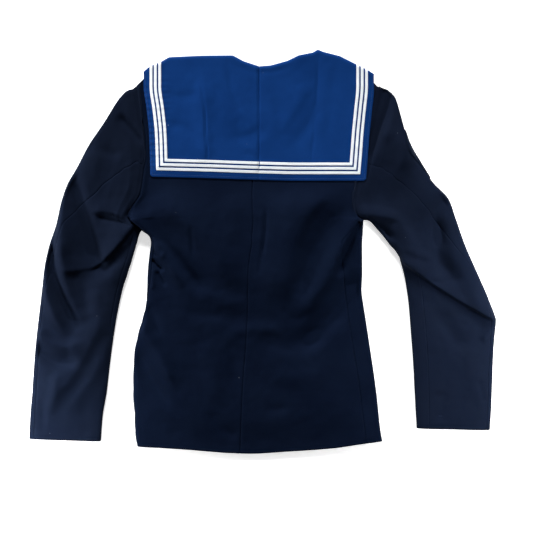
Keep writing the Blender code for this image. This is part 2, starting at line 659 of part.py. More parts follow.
def front_end(turn, tip):
    """One front end of the collar, from its roll at the shoulder to the V."""
    last = turn[-1]
    share = np.linspace(0, 1, len(last))
    tip_row = np.array([[tip[0][0] + (tip[1][0] - tip[0][0]) * s, tip[0][1] + (tip[1][1] - tip[0][1]) * s,
                         COLLAR_FRONT_Z] for s in share])
    return turn + [last * (1 - f) + tip_row * f for f in FRONT_LEVELS]


def offset_line(points, distance):
    """A line moved sideways to its left, with mitred corners."""
    points = np.array(points, dtype=float)
    ways = np.diff(points, axis=0)
    ways /= np.linalg.norm(ways, axis=1)[:, None]
    normals = np.column_stack([-ways[:, 1], ways[:, 0]])
    moved = []
    for i, point in enumerate(points):
        before = normals[max(i - 1, 0)]
        after = normals[min(i, len(normals) - 1)]
        mitre = (before + after) / (1 + before @ after)
        moved.append(point + mitre * distance)
    return np.array(moved)


def tape_rail(distance):
    """One edge of a tape: up from the V, over the shoulder, round the flap and back."""
    radius = (COLLAR_BACK_Z - COLLAR_FRONT_Z) / 2 + COLLAR_CLOTH / 2 + LAYER_GAP + TAPE_CLOTH / 2
    middle_z = (COLLAR_BACK_Z + COLLAR_FRONT_Z) / 2
    levels = SIDES_AT["y"][1:-1][::-1]
    left = [(np.interp(y, SIDES_AT["y"], SIDES_AT["left"]), y) for y in levels]
    right = [(np.interp(y, SIDES_AT["y"], SIDES_AT["right"]), y) for y in levels[::-1]]
    left[0] = (left[0][0], TAPE_TURN_Y["left"])
    right[-1] = (right[-1][0], TAPE_TURN_Y["right"])
    flap = offset_line(left + list(COLLAR_BOTTOM) + right, distance)
    rail = []
    for side, tip in (("left", LEFT_FRONT_TIP), ("right", RIGHT_FRONT_TIP)):
        start = flap[0] if side == "left" else flap[-1]
        roll_y = collar_edge_y(start[0], TOP_AT) - (COLLAR_BACK_Z - COLLAR_FRONT_Z) / 2 - COLLAR_CLOTH / 2
        turn = [(start[0], roll_y + radius * math.cos(math.radians(a)),
                 middle_z + radius * math.sin(math.radians(a))) for a in COLLAR_ROLL_ANGLES]
        corner = np.array([start[0], roll_y])
        outer = np.array([TOP_AT["x"][0 if side == "left" else -1], TOP_AT["y"][0 if side == "left" else -1] - 4])
        way = np.array(tip[0]) - outer
        way /= np.linalg.norm(way)
        reach = (np.array(tip[0]) - corner) @ way - TAPE_TIP_INSET * distance
        run = [tuple(corner + way * reach * f) + (TAPE_CLEARANCE + TAPE_CLOTH / 2,) for f in TAPE_RUN]
        rail.append(turn + run)
    over_flap = [(x, y, COLLAR_BACK_Z + COLLAR_CLOTH / 2 + LAYER_GAP + TAPE_CLOTH / 2) for x, y in flap]
    return np.array(rail[0][::-1] + over_flap[1:-1] + rail[1])


def tape_pieces():
    """Three tapes that run round the collar, a width apart."""
    for name, inset in TAPES.items():
        outer = tape_rail(inset - TAPE_WIDTH / 2)
        inner = tape_rail(inset + TAPE_WIDTH / 2)
        wall(name, [[outer, inner]], TAPE_CLOTH, TAPE_WHITE)


def moved_out(grid, distance):
    """A grid of points moved off its surface, as far from every face it meets."""
    across = np.diff(grid, axis=1)
    along = np.diff(grid, axis=0)
    faces = np.cross(across[:-1] + across[1:], along[:, :-1] + along[:, 1:])
    faces /= np.linalg.norm(faces, axis=2)[:, :, None]
    moved = grid.copy()
    for i in range(grid.shape[0]):
        for j in range(grid.shape[1]):
            near = faces[max(i - 1, 0):i + 1, max(j - 1, 0):j + 1].reshape(-1, 3)
            normal = near.sum(axis=0)
            normal /= np.linalg.norm(normal)
            moved[i, j] += normal * distance / (near @ normal).min()
    return moved


def badge_patch(sleeve_rows):
    """Plain patch made from the right sleeve's points, moved out."""
    rows = []
    for section, top, under in PATCH:
        low = int(section)
        part = section - low
        ends = (sleeve_rows[low], sleeve_rows[low + 1])
        facets = sum(row[PATCH_FOLD - 1:PATCH_FOLD + PATCH_FACETS + 1] * share
                     for row, share in zip(ends, (1 - part, part)))
        facets[0] = facets[1] + (facets[0] - facets[1]) * top
        facets[-1] = facets[-2] + (facets[-1] - facets[-2]) * under
        rows.append(facets)
    grid = moved_out(np.array(rows), -(WOOL / 2 + SEAM_GAP + PATCH_CLOTH / 2))
    grid[:, :, 2] = np.maximum(grid[:, :, 2], PATCH_CLOTH / 2)
    wall("badge_patch", [grid], PATCH_CLOTH, NAVY_WOOL)


for old in list(bpy.data.objects):
    bpy.data.objects.remove(old)
GARMENT = bpy.data.collections.new("sailor_jumper")
bpy.context.scene.collection.children.link(GARMENT)

back_pieces()
front_piece()
sleeve("left", LEFT_SLEEVE, LEFT_HINDARM, LEFT_FOREARM, LEFT_SLEEVE_FOLDS)
RIGHT_ROWS = sleeve("right", RIGHT_SLEEVE, RIGHT_HINDARM, RIGHT_FOREARM, RIGHT_SLEEVE_FOLDS)
collar_piece()
tape_pieces()
badge_patch(RIGHT_ROWS)
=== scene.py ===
"""Looks of the sailor jumper: wool panels, blue collar, white tapes and stitching.

Lengths in the tables are in millimetres, X across the garment and Y from hem
to collar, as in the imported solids.
"""

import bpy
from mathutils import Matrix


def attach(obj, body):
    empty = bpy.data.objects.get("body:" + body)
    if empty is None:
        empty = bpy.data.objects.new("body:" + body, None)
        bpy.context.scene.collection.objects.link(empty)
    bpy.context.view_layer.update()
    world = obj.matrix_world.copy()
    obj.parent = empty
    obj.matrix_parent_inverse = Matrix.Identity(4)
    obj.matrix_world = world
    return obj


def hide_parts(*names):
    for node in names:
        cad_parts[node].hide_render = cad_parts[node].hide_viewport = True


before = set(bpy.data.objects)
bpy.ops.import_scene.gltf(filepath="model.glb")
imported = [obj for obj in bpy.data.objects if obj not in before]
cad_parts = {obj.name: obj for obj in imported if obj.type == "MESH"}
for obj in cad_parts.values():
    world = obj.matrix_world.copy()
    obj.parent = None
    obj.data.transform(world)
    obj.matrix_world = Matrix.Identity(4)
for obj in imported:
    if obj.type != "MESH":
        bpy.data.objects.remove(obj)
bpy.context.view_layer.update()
import copy
import math

import bmesh
import bpy
import numpy as np
from mathutils import Vector, noise

MM = 0.001

# Cloth thicknesses, seam grooves and the gaps between pieces.
WOOL = 1.3
COLLAR_CLOTH = 1.3
TAPE_CLOTH = 0.45
PATCH_CLOTH = 1.2
SEAM_GAP = 0.25
BOTH_SEAMS = (SEAM_GAP, SEAM_GAP)
SEAM_DIP = 0.6
BODY_SEAM_DIP = 1.2
SEAM_SOFT = 1.0
SHALLOW_DIP = 0.5
ARMHOLE_GAP = 0.5
ARMHOLE_DIP = 1.5
ARMHOLE_BASE_Z = 4.9
ARMHOLE_SOFT = 1.8
SLEEVE_ARMHOLE_DIP = 0.8
LEAST_GAP = 0.05
WELD = 0.05

# Turned edges: the bend's angles, then how deep the turning lies, and the
# allowance inside an armhole: how far it reaches and how far it drops.
TURN_GAP = 1.55
TURN_ANGLES = (45, 90, 135, 180)
TURN_DEPTHS = (2, 6, 12, 22)
ALLOWANCE = ((8, 2.4), (4, 2.1), (1.4, 1.2))
EDGE_ROWS = 5

# Middle heights of the stacked layers, the least room inside a tube, and the
# level where the front starts to rise to the chest and how far it takes.
FLOOR_Z = 0.8
COLLAR_FRONT_Z = 1.8
FRONT_HIGH_Z = 3.6
BACK_LOW_Z = 5.5
COLLAR_BASE_Z = 7.3
LEAST_HOLLOW = 1.8
CHEST_LOW = 20.0
CHEST_RISE = 36.0

# Rolled edges of the tubes, the level that their tops settle to, how far in
# that takes, and how far in from an edge the folds are held back.
EDGE_RISE = 3.4
UNDER_ROLL = 6.0
WIDEST_ROLL = 0.45
BODY_ROLL = 13.0
BODY_REST = 10.5
BODY_SETTLE = 55.0
BODY_HOLD = 8.0
HEM_REST = 6.2
HEM_REST_TOP = -270.0
HEM_REST_EASE = 50.0
SLEEVE_ROLL = 25.0
SLEEVE_REST = 10.2
SLEEVE_SETTLE = 38.0
SLEEVE_HOLD = 9.0
CUFF_LIFT = 0.6
CUFF_ROWS = 2.2

# Unevenness of the cloth: height, width and seed of its broad and small waves.
WOOL_WAVES = ((0.9, 34.0, 0.0), (0.45, 13.0, 5.0))
COTTON_WAVES = ((0.55, 40.0, 0.0), (0.22, 12.0, 6.0))
BODY_SEED = 3.0
COLLAR_SEED = 23.0

# How finely the cloth is divided: along it, across its layers and over its
# edges, and the share of the columns that the hidden side gets.
ROW_STEP = 2.3
ROLL_STEPS = 12
BODY_STEPS = 140
SLEEVE_STEPS = 66
EDGE_COLUMNS = (0.0, 0.5, 1.2, 2.3)
LEFT_BACK_PARTS = 76
RIGHT_BACK_PARTS = 68
LEFT_SIDE_PARTS = 14
RIGHT_SIDE_PARTS = 30
FRONT_PARTS = 24
FRONT_ROWS = 36
TOP_PARTS = 92
UNDER_PARTS = 46
PATCH_PARTS = 20
BRIDGE_ROWS = 2
BACK_BELOW = 0.4
SLEEVE_BELOW = 0.35
BODY_LINE_POINTS = 80
SLEEVE_LINE_POINTS = 120
ARMHOLE_POINTS = 60
LINE_SAMPLES = 500
SEAM_SAMPLES = 40
BOW_SMOOTHING = 14
NO_JOIN = ((0.0, 1.0), (0.0, 0.0))

# Back and front above the underarm: armholes, centre seam, height at each armhole.
YOKE_COLUMNS = ("y", "left", "right", "centre", "left_crown", "right_crown")
YOKE = (
    (280, -214, 194, -8, 6.6, 5.5),
    (247, -208, 185, -9, 7, 5.5),
    (214, -203, 177, -10, 7.2, 5.5),
    (181, -199, 169, -12, 7.2, 5.5),
    (155, -200, 163, -14, 7.2, 5.5),
    (135, -202, 160, -16, 7.4, 5.5),
    (113, -205, 160, -17, 7.6, 5.8),
    (96, -208, 158.5, -18, 7.8, 6.6),
    (82, -217, 157, -17.5, 8, 7.2),
    (70, -225, 157, -17, 8.2, 7.8),
    (58, -231, 162, -16, 8.4, 8.4),
)
YOKE_SETTLE = 11.0
YOKE_RISE = 5.0
YOKE_EASE = 62.0
YOKE_SIDE_EASE = 44.0
YOKE_HOLD = 10.0
COLLAR_COVER = 4.0
COLLAR_FREE = 52.0
HINDARM_LEVEL = 4
FRONT_ARMHOLE_LEVELS = (0, 4, 8, 10)
V_LEVEL = 9
TORSO_COLUMNS = ("y", "left", "right", "left_seam", "centre", "right_seam", "crown")
TORSO = (
    (54, -228, 171, -3, -16, 166, 8.6),
    (48, -220.5, 171, -3, -16, 162.5, 8.8),
    (36, -206, 170, -2, -17, 151, 9.2),
    (24, -191.5, 169.5, 2, -18, 140, 9.4),
    (15, -189.5, 169, 5, -18, 133.5, 9.2),
    (-5, -192, 169, 6, -21, 134, 9),
    (-35, -195, 169, 6, -24.5, 137, 9),
    (-65, -196, 168, 3, -25, 139.5, 8.5),
    (-90, -198, 171, -1, -25.5, 142.5, 8.5),
    (-115, -204, 175, -4, -26, 146, 8.5),
    (-145, -212.5, 179.5, -7, -27.5, 150.5, 8.5),
    (-175, -218, 184, -9, -29.5, 155, 8.5),
    (-205, -219.5, 188.5, -11, -32, 160, 8),
    (-240, -220, 193, -13, -34.5, 165, 8),
    (-275, -217.5, 196.5, -15, -36, 169.5, 8),
    (-305, -216.5, 199.5, -18, -37, 173.5, 8),
    (-328, -213, 203, -20, -38, 176.5, 8),
)
HEM_COLUMNS = ("x", "drop")
HEM = ((-213, -2), (-131, -7), (-63, -12.5), (-18, -14), (35, -11), (119, -5), (173, 3), (203, 7))
HEM_EASE = 120.0
SHOULDER_COLUMNS = ("x", "y")
SHOULDER = (
    (-214, 280), (-196, 298), (-168, 315), (-110, 323), (-55, 323), (-34, 309), (-6, 300),
    (20, 302), (44, 311), (62, 322), (94, 330), (135, 321), (165, 305), (183, 292), (194, 280),
)
SHOULDER_EASE = 99.0
NECK_CENTRE = 4.0
NECK_HALF = 56.0

SLEEVE_COLUMNS = ("outer_x", "outer_y", "inner_x", "inner_y", "crown", "lift", "bow", "away")
LEFT_SLEEVE = (
    (-214, 282, -200, 37, 8, 2.6, 1, 0.5),
    (-228, 266, -205.5, 34, 9, 1.6, 1, 9),
    (-244, 249, -208.5, 28, 10.5, 0.3, 0.8, 22),
    (-270, 215, -211, 21, 11, 0, 0.6, 36),
    (-293, 183, -213.5, 13, 11.5, 0, 0.4, 50),
    (-315, 142, -216, 4, 12, 0, 0.2, 64),
    (-332, 112, -219, -6, 13, 0, 0, 70),
    (-342, 82, -222, -17, 14, 0, 0, 70),
    (-350, 46, -226, -29, 15, 0, 0, 70),
    (-362, 10, -230, -42, 15, 0, 0, 70),
    (-370, -27, -236, -60, 14, 0, 0, 70),
    (-374, -62, -242, -85, 12, 0, 0, 70),
    (-379, -105, -249, -122, 11, 0, 0, 70),
    (-384, -148, -254, -156, 10.5, 0, 0, 70),
    (-388, -194, -259, -195, 10.5, 0, 0, 70),
    (-391, -240, -264, -238, 10, 0, 0, 70),
    (-394.5, -282, -271, -280, 9.5, 0, 0, 70),
    (-396, -317, -274, -321, 9.5, 0, 0, 70),
)
RIGHT_SLEEVE = (
    (194, 282, 171, 52, 8, 2.6, 1, 0.5),
    (206, 275, 176, 52.5, 7, 1.3, 1, 18),
    (224, 253, 183, 49.5, 10, 1.3, 0.8, 28),
    (235, 214, 190, 42, 13, 1.5, 0.6, 40),
    (249, 182, 196, 35, 14, 1.5, 0.35, 52),
    (268, 149, 203, 27, 14, 1.5, 0.15, 64),
    (289, 117, 210, 18, 14, 1.5, 0, 70),
    (316, 88, 217, 9, 14, 0, 0, 70),
    (328, 55, 223, 3, 15, 0, 0, 70),
    (343, 12, 228, -4, 16, 0, 0, 70),
    (362, -32, 230, -7, 16.5, 0, 0, 70),
    (382, -78, 231.5, -9, 17, 0, 0, 70),
    (396, -116, 232.5, -12, 16, 0, 0, 70),
    (396, -121, 233.5, -16, 12.5, 0, 0, 70),
    (393, -150, 240, -40, 10.5, 0, 0, 70),
    (391, -180, 247, -84, 11, 0, 0, 70),
    (390, -214, 251, -132, 11, 0, 0, 70),
    (388.5, -250, 255, -186, 10.5, 0, 0, 70),
    (387, -280, 258, -244, 10, 0, 0, 70),
    (385.5, -302, 261, -299, 9.5, 0, 0, 70),
)
LEFT_HINDARM = (
    (-200, 155), (-234, 140), (-268, 114), (-302, 84), (-331, 53), (-345, 30), (-356, -23),
    (-364, -45), (-371, -90), (-377, -150), (-382, -220), (-388, -330),
)
LEFT_FOREARM = (
    (-217, 34), (-222, 18), (-226, 2), (-232, -20), (-240, -42), (-246, -65), (-252, -92),
    (-258, -130), (-264, -190), (-270, -245), (-278, -330),
)
RIGHT_HINDARM = (
    (163, 155), (208, 136), (242, 109), (268, 84), (290, 57), (315, 21), (341, -11), (361, -42),
    (375, -75), (386, -112), (386, -130), (383, -180), (381, -240), (379, -310),
)
RIGHT_FOREARM = (
    (176, 58), (188, 50), (202, 36), (214, 22), (225, 10), (236, 0), (249, -13), (258, -27), (266, -42),
    (271, -83), (274, -117), (278, -159), (280, -202), (281, -253), (281, -310),
)

# Folds: a path through three points, how far the fold reaches to the left and
# right of it, its height, and how far it leans over to the left.
FOLD_COLUMNS = ("x0", "y0", "x1", "y1", "x2", "y2", "left", "right", "height", "lean")
BODY_FOLDS = (
    (-246, 74, -184, 17, -120, -84, 13, 10, 9.5, -1),
    (-222, 58, -150, -10, -94, -84, 14, 12, -6.5),
    (-202, 84, -108, 34, -40, -86, 30, 20, 9.5),
    (-134, -62, -78, -80, -16, -94, 12, 17, 2.8),
    (-140, -104, -80, -109, -22, -115, 13, 10, -1.6),
    (-214, -110, -180, -166, -142, -240, 10, 8, 6),
    (-222, -158, -190, -215, -150, -272, 9, 12, -4.2),
    (96, 150, 6, 56, -24, -112, 40, 90, 2.5),
    (140, 116, 60, 36, 36, -120, 19, 44, 13.5),
    (150, 84, 90, 0, 62, -100, 11, 16, -7),
    (186, 66, 124, -16, 62, -122, 14, 24, 10),
    (30, -84, 54, -114, 88, -96, 6, 7, -1.2),
    (166, -26, 122, -112, 50, -172, 14, 24, -8),
    (110, -140, 50, -160, -14, -146, 15, 20, -3.4),
    (178, 66, 151, 13, 126, -48, 8, 8, -16),
    (6, 78, 4, 28, -2, -14, 3, 4, -3.4),
    (0, -2, -4, -20, -6, -44, 4, 4, -1.4),
    (-98, -261, -68, -300, -36, -313, 9, 9, -1.8),
    (4, -262, 23, -268, 42, -261, 8, 8, -1.2),
    (-186, 20, -184, 2, -180, -14, 3, 3, -2.8),
    (-188, -12, -180, -22, -166, -34, 4, 4, -5.5),
    (-180, -32, -173, -45, -162, -62, 4, 4, -3.6),
    (-182, 16, -166, 2, -174, -14, 4, 4, 2.4),
    (-192, -40, -186, -52, -190, -66, 3, 3, 1.4),
    (-200, -92, -186, -112, -180, -150, 9, 9, -3),
    (-122, 46, -119, 20, -118, -10, 4, 4, -1.6),
    (-70, -150, -18, -132, 50, -140, 10, 10, 2),
    (-110, -150, -84, -210, -92, -262, 16, 16, 2.4),
    (-60, -150, -48, -190, -62, -240, 12, 12, -1.6),
    (120, -200, 60, -215, 10, -205, 14, 14, 1.6),
    (-60, 100, -52, 60, -60, 10, 16, 16, 1.4),
    (-170, 110, -140, 96, -110, 100, 12, 12, 1.4),
    (30, 100, 44, 80, 40, 50, 12, 12, 1.4),
    (128, 98, 78, 44, 60, -30, 12, 14, -3),
)
LEFT_SLEEVE_FOLDS = (
    (-246, 232, -222, 207, -196, 174, 8, 8, -4.6),
    (-302, 188, -272, 172, -236, 160, 10, 10, -3.2),
    (-294, 66, -252, 64, -206, 41, 16, 4.5, 3.8, -1.5),
    (-284, 58, -252, 54, -222, 40, 4, 8, -3.5),
    (-322, 146, -298, 40, -266, -50, 10, 24, -13),
    (-340, 138, -340, 60, -328, -30, 10, 14, 5),
    (-346, -30, -296, -26, -226, 18, 18, 4, 2),
    (-302, -32, -252, 2, -190, 90, 24, 4.5, 6, -3),
    (-280, -40, -242, -10, -196, 48, 6, 10, -4),
    (-344, 62, -330, -46, -300, -122, 12, 11, 6.5),
    (-360, 50, -348, -58, -304, -136, 8, 13, -14),
    (-322, -30, -315, -70, -304, -114, 22, 14, -5),
    (-394, -116, -350, -158, -296, -152, 9, 16, 7.5),
    (-396, -142, -356, -184, -304, -184, 24, 9, -7.5),
    (-274, -106, -310, -188, -370, -264, 13, 24, 6),
    (-256, -140, -288, -212, -344, -284, 12, 12, 2.6),
    (-374, -238, -371, -275, -374, -314, 6, 6, -1.6),
    (-284, -60, -280, -100, -270, -150, 12, 12, 2.4),
    (-300, -250, -296, -285, -306, -316, 16, 14, -1.4),
    (-350, -200, -352, -240, -362, -280, 9, 9, 2.6),
    (-262, 122, -240, 106, -222, 98, 12, 12, 1.2),
    (-386, 50, -372, -50, -324, -150, 10, 10, 9),
)
RIGHT_SLEEVE_FOLDS = (
    (218, 300, 202, 222, 172, 146, 7, 15, -12),
    (230, 282, 218, 226, 200, 176, 9, 9, 2.5),
    (226, 262, 236, 150, 214, 26, 26, 40, 5.5),
    (328, 104, 294, 56, 316, -4, 12, 13, -8.5),
    (306, 62, 298, 2, 324, -60, 20, 13, -7.5),
    (146, 59, 190, 60, 242, 50, 15, 5.5, 5, -2),
    (168, 50, 200, 40, 224, 12, 7, 10, -7.5),
    (224, 58, 242, 28, 268, -10, 11, 12, 3.6),
    (206, 8, 310, -68, 424, -132, 20, 5.5, 7.5, -4),
    (340, -40, 312, -50, 280, -44, 4, 6, -2.4),
    (236, 10, 262, -4, 292, -12, 7, 6, 2.4),
    (400, -122, 384, -136, 368, -154, 6, 6, 3.2),
    (362, -212, 370, -236, 374, -258, 5, 5, -1.4),
    (290, -98, 316, -134, 344, -176, 14, 12, -3),
    (350, -150, 356, -200, 352, -262, 14, 14, 2.4),
    (246, -28, 250, -40, 246, -52, 5, 5, -1.8),
    (205, 160, 200, 120, 196, 76, 14, 16, -1.6),
    (300, -230, 304, -262, 298, -292, 10, 10, -1.5),
    (190, 196, 222, 184, 272, 152, 22, 58, 8.8),
    (150, 82, 196, 80, 246, 64, 40, 11, -4.5),
)

# Small puckers along the collar's margins: where each one lies and its height.
LEFT_PUCKERS = (
    (293, 0.5), (282, 0.9), (272, 0.7), (263, 1), (253, 0.8), (244, 1.1), (233, 0.7), (224, 1), (214, 0.9),
    (204, 1.1), (195, 0.7), (185, 1), (174, 0.8), (165, 0.9), (155, 0.6), (146, 0.8),
)
RIGHT_PUCKERS = ((282, 0.5), (262, 0.6), (240, 0.4), (221, 0.6), (197, 0.5), (178, 0.6), (156, 0.4))
COLLAR_FOLDS = (
    (-105, 300, -98, 214, -95, 142, 12, 16, 1.9),
    (-104, 296, -97, 214, -94, 140, 1.1, 0.9, -2.2),
    (96, 344, 89, 232, 80, 138, 12, 22, -1.5),
    (96, 344, 89, 232, 81, 138, 1, 1.4, -1.7),
    (-62, 324, -6, 303, 54, 316, 5, 6, -0.7),
    (-60, 330, -50, 262, -30, 236, 7, 5, -0.9),
    (-120, 282, -80, 254, -40, 190, 12, 20, 1.5),
    (-166, 276, -140, 262, -96, 270, 8, 12, -1.2),
    (-166, 214, -128, 206, -100, 168, 8, 10, -1.2),
    (-60, 196, -20, 196, 0, 216, 8, 12, -1.3),
    (90, 300, 50, 236, 16, 190, 10, 16, 1.4),
    (96, 252, 78, 214, 44, 170, 10, 12, -1.4),
    (130, 320, 112, 246, 108, 150, 12, 10, -1.1),
    (14, 262, 30, 222, 20, 184, 10, 8, -0.9),
    (-40, 170, -14, 160, -8, 150, 6, 6, -0.7),
)
COLLAR_FOLDS += tuple((-216, y + 1, -188, y - 1, -150, y, 2.6, 2.8, height) for y, height in LEFT_PUCKERS)
COLLAR_FOLDS += tuple((192, y, 170, y - 2, 146, y, 3, 3, height) for y, height in RIGHT_PUCKERS)
PATH_STEPS = 24
FOLD_REACH = 2.6
FOLD_TAPER = 4.0

# Each arm, with the sections of its table where the forearm seam shows on top,
# where that seam starts and how far round it hides, and the patch on the right arm.
ARMS = {
    "left": {"side": "left", "out": -1, "table": LEFT_SLEEVE, "folds": LEFT_SLEEVE_FOLDS,
             "hindarm": LEFT_HINDARM, "forearm": LEFT_FOREARM, "shown": (1, 12), "seed": 11.0},
    "right": {"side": "right", "out": 1, "table": RIGHT_SLEEVE, "folds": RIGHT_SLEEVE_FOLDS,
              "hindarm": RIGHT_HINDARM, "forearm": RIGHT_FOREARM, "shown": (12, 19), "seed": 17.0},
}
FOREARM_START = 4.0
FOREARM_HIDE = 2.0
PATCH_COLUMNS = ("section", "top", "under")
PATCH = (
    (3.2, 0.4, 3), (3.35, 3.5, 14), (3.6, 8.5, 30), (4.03, 11.5, 40), (4.4, 11, 42), (4.7, 6.6, 38),
    (5.06, 3, 28), (5.5, 1.2, 14), (5.8, 0.4, 3),
)
PATCH_GAP = 0.6
PATCH_EDGE_DIP = 0.5
PATCH_EDGE_SOFT = 1.6

COLLAR_SIDE_COLUMNS = ("y", "left", "right")
COLLAR_SIDES = (
    (119, -190.5, 175), (160, -191.5, 178.5), (200, -193, 181.5), (240, -197, 185.5),
    (280, -202, 189), (340, -202, 189),
)
COLLAR_TOP_COLUMNS = ("x", "y")
COLLAR_TOP = (
    (-202, 305), (-190, 315), (-173, 321), (-159, 329), (-102, 331.5), (-51, 332), (-47, 330),
    (-32, 322), (-6, 313.5), (14, 315), (43, 323), (57, 330), (61, 332), (86, 337), (94, 342),
    (103, 338), (131, 331), (159, 317), (176, 309), (189, 301),
)
COLLAR_BOTTOM_COLUMNS = ("x", "y")
COLLAR_BOTTOM = ((-190.5, 126.5), (-94, 124), (-6, 121), (64, 119.5), (175, 119.5))
COLLAR_CORNER = 5.0
CORNER_ROUNDS = 6
COLLAR_STEP = 2.4
FLAP_ROWS = 84
COLLAR_EDGE = (0.0, 0.5, 1.2, 2.2, 3.5, 4.8)
EDGE_DIP = 0.5
EDGE_DIP_SOFT = 1.1
COLLAR_SEAM_X = -6.0
COLLAR_SEAM_DIP = 3.0
COLLAR_SEAM_SOFT = 1.0
SEAM_COLUMNS = (-2.1, -1.4, -0.7, 0.0, 0.7, 1.4, 2.1)
SEAM_CLEAR = 2.6

# How the collar lies: off the back, higher inside its margins and at the neck's fold.
COLLAR_GAP = 0.3
COLLAR_SINK = 0.2
COLLAR_REST = 1.9
COLLAR_REST_EASE = 28.0
COLLAR_PUFF = 1.0
COLLAR_PUFF_SOFT = 15.0
COLLAR_LOW_LIFT = 0.1
COLLAR_LOW_SOFT = 12.0
ROLL_START = 4.5
ROLL_ANGLES = (90, 70, 50, 30, 10, -10, -30, -50, -70, -90)
STAND_ROWS = 6
STAND_STEPS = (0.25, 0.5, 0.75, 1.0)
NECK_LEFT = -47.0
NECK_RIGHT = 57.0
NECK_ALLOWANCE = 6.0
LEFT_FRONT_TIP = ((-14, 64), (-13, 84))
RIGHT_FRONT_TIP = ((-5, 64), (-6, 84))
TIP_LOWER = 4.0
TIP_MITRE = 2.2
FRONT_END_ROWS = 40

# The tapes: distance of each from the collar's edge, and a section across one
# with the drop of its selvedges.
TAPES = {"tape_outer": 13.2, "tape_middle": 20.6, "tape_inner": 28.0}
TAPE_SECTION = ((-2.3, 0.1), (-1.8, 0.0), (0.0, -0.04), (1.8, 0.0), (2.3, 0.1))

# Stitches: pitch, thread and length, and where their lines lie.
STITCH_SIZES = ("Pitch", "Thread", "Length")
EDGE_STITCH = (2.7, 0.22, 2.0)
EDGE_STITCH_LIFT = 0.12
STITCH_INSET = 3.5
STITCH_DIP = 0.3
STITCH_DIP_SOFT = 0.9
TAPE_STITCH = (2.5, 0.16, 1.8)
TAPE_STITCH_LIFT = 0.1
TAPE_STITCH_INSET = 1.75

# Colours, and how much of the weave, the nap and the mottling shows in them.
NAVY_DARK = (0.0010, 0.0028, 0.0106, 1.0)
NAVY_LIGHT = (0.0042, 0.0088, 0.0232, 1.0)
# The sleeves' two colours are a lighter copy of the body's navy wool. This is painted light, standing in for
# the brighter light that falls on the sleeves.
SLEEVE_LIT_DARK = (0.0032, 0.0061, 0.0162, 1.0)
SLEEVE_LIT_LIGHT = (0.0057, 0.0092, 0.0200, 1.0)
LINT_GREY = (0.05, 0.06, 0.08, 1.0)
BLUE_DARK = (0.0020, 0.0210, 0.1050, 1.0)
BLUE_LIGHT = (0.0060, 0.0420, 0.1850, 1.0)
BLUE_LINT = (0.10, 0.16, 0.32, 1.0)
TAPE_SHADE = (0.70, 0.76, 0.82, 1.0)
TAPE_WHITE = (0.92, 0.94, 0.95, 1.0)
CROSS_THREADS = 0.3
RIB_SCALE = 0.38
LINT_SPACING = 75.0
LINT_SIZE = 0.075
MOTTLE_CONTRAST = (2.2, -0.6)
GRAIN_CONTRAST = (2.4, -0.7)
MOTTLE_SHARE = 0.4
GRAIN_SHARE = 0.35
WEAVE_SHARE = 0.25
WEAVE_RELIEF = 0.6
NAP_RELIEF = 0.8
ROUGH_SPAN = 0.14

# Studio: the paper's width, the lens and the view's width and centre, in metres.
FLOOR_WIDTH = 8.0
LENS = 80.0
VIEW_WIDTH = 0.9061
VIEW_CENTRE = (0.0066, -0.0258)


def columns(names, rows):
    """Named columns of a table, as arrays."""
    table = np.array(rows, dtype=float)
    return {name: table[:, i] for i, name in enumerate(names)}


YOKE_AT = columns(YOKE_COLUMNS, YOKE)
TORSO_AT = columns(TORSO_COLUMNS, TORSO)
HEM_AT = columns(HEM_COLUMNS, HEM)
SHOULDER_AT = columns(SHOULDER_COLUMNS, SHOULDER)
SIDES_AT = columns(COLLAR_SIDE_COLUMNS, COLLAR_SIDES)
TOP_AT = columns(COLLAR_TOP_COLUMNS, COLLAR_TOP)
BOTTOM_AT = columns(COLLAR_BOTTOM_COLUMNS, COLLAR_BOTTOM)


def ease(share):
    """Smooth change from 0 to 1."""
    share = np.clip(share, 0, 1)
    return share ** 2 * (3 - 2 * share)


def spline(knots, values, at):
    """Smooth curve through the values that doesn't overshoot them."""
    knots = np.asarray(knots, dtype=float)
    values = np.asarray(values, dtype=float)
    step = np.diff(knots)
    slope = np.diff(values) / step
    product = slope[:-1] * slope[1:]
    total = slope[:-1] + slope[1:]
    inner = np.where(product > 0, 2 * product / np.where(total == 0, 1, total), 0)
    tangent = np.r_[slope[0], inner, slope[-1]]
    i = np.clip(np.searchsorted(knots, at, side="right") - 1, 0, len(step) - 1)
    t = (at - knots[i]) / step[i]
    return ((1 + 2 * t) * (1 - t) ** 2 * values[i] + t * (1 - t) ** 2 * step[i] * tangent[i]
            + t * t * (3 - 2 * t) * values[i + 1] + t * t * (t - 1) * step[i] * tangent[i + 1])


def curve_at(table, key, x, by="x"):
    """A column of a table at places along another, held at the table's ends."""
    return spline(table[by], table[key], np.clip(x, table[by][0], table[by][-1]))


def lengths(line):
    """Distance along a line at each of its points."""
    return np.r_[0, np.cumsum(np.linalg.norm(np.diff(line, axis=0), axis=1))]


def points_at(places, along, line):
    """Points of a line at given places along it."""
    return np.column_stack([np.interp(places, along, line[:, i]) for i in range(line.shape[1])])


def run_of(grid, axis):
    """Distance from a grid's first line to each point, along one of its axes."""
    run = np.cumsum(np.linalg.norm(np.diff(grid, axis=axis), axis=2), axis=axis)
    return np.concatenate([np.zeros_like(run.take([0], axis=axis)), run], axis=axis)


def roll(distance, radius):
    """Rise of a rounded edge: 0 at the fold, 1 from the radius inwards."""
    inside = 1 - np.minimum(distance, radius) / radius
    return np.sqrt(1 - inside ** 2)


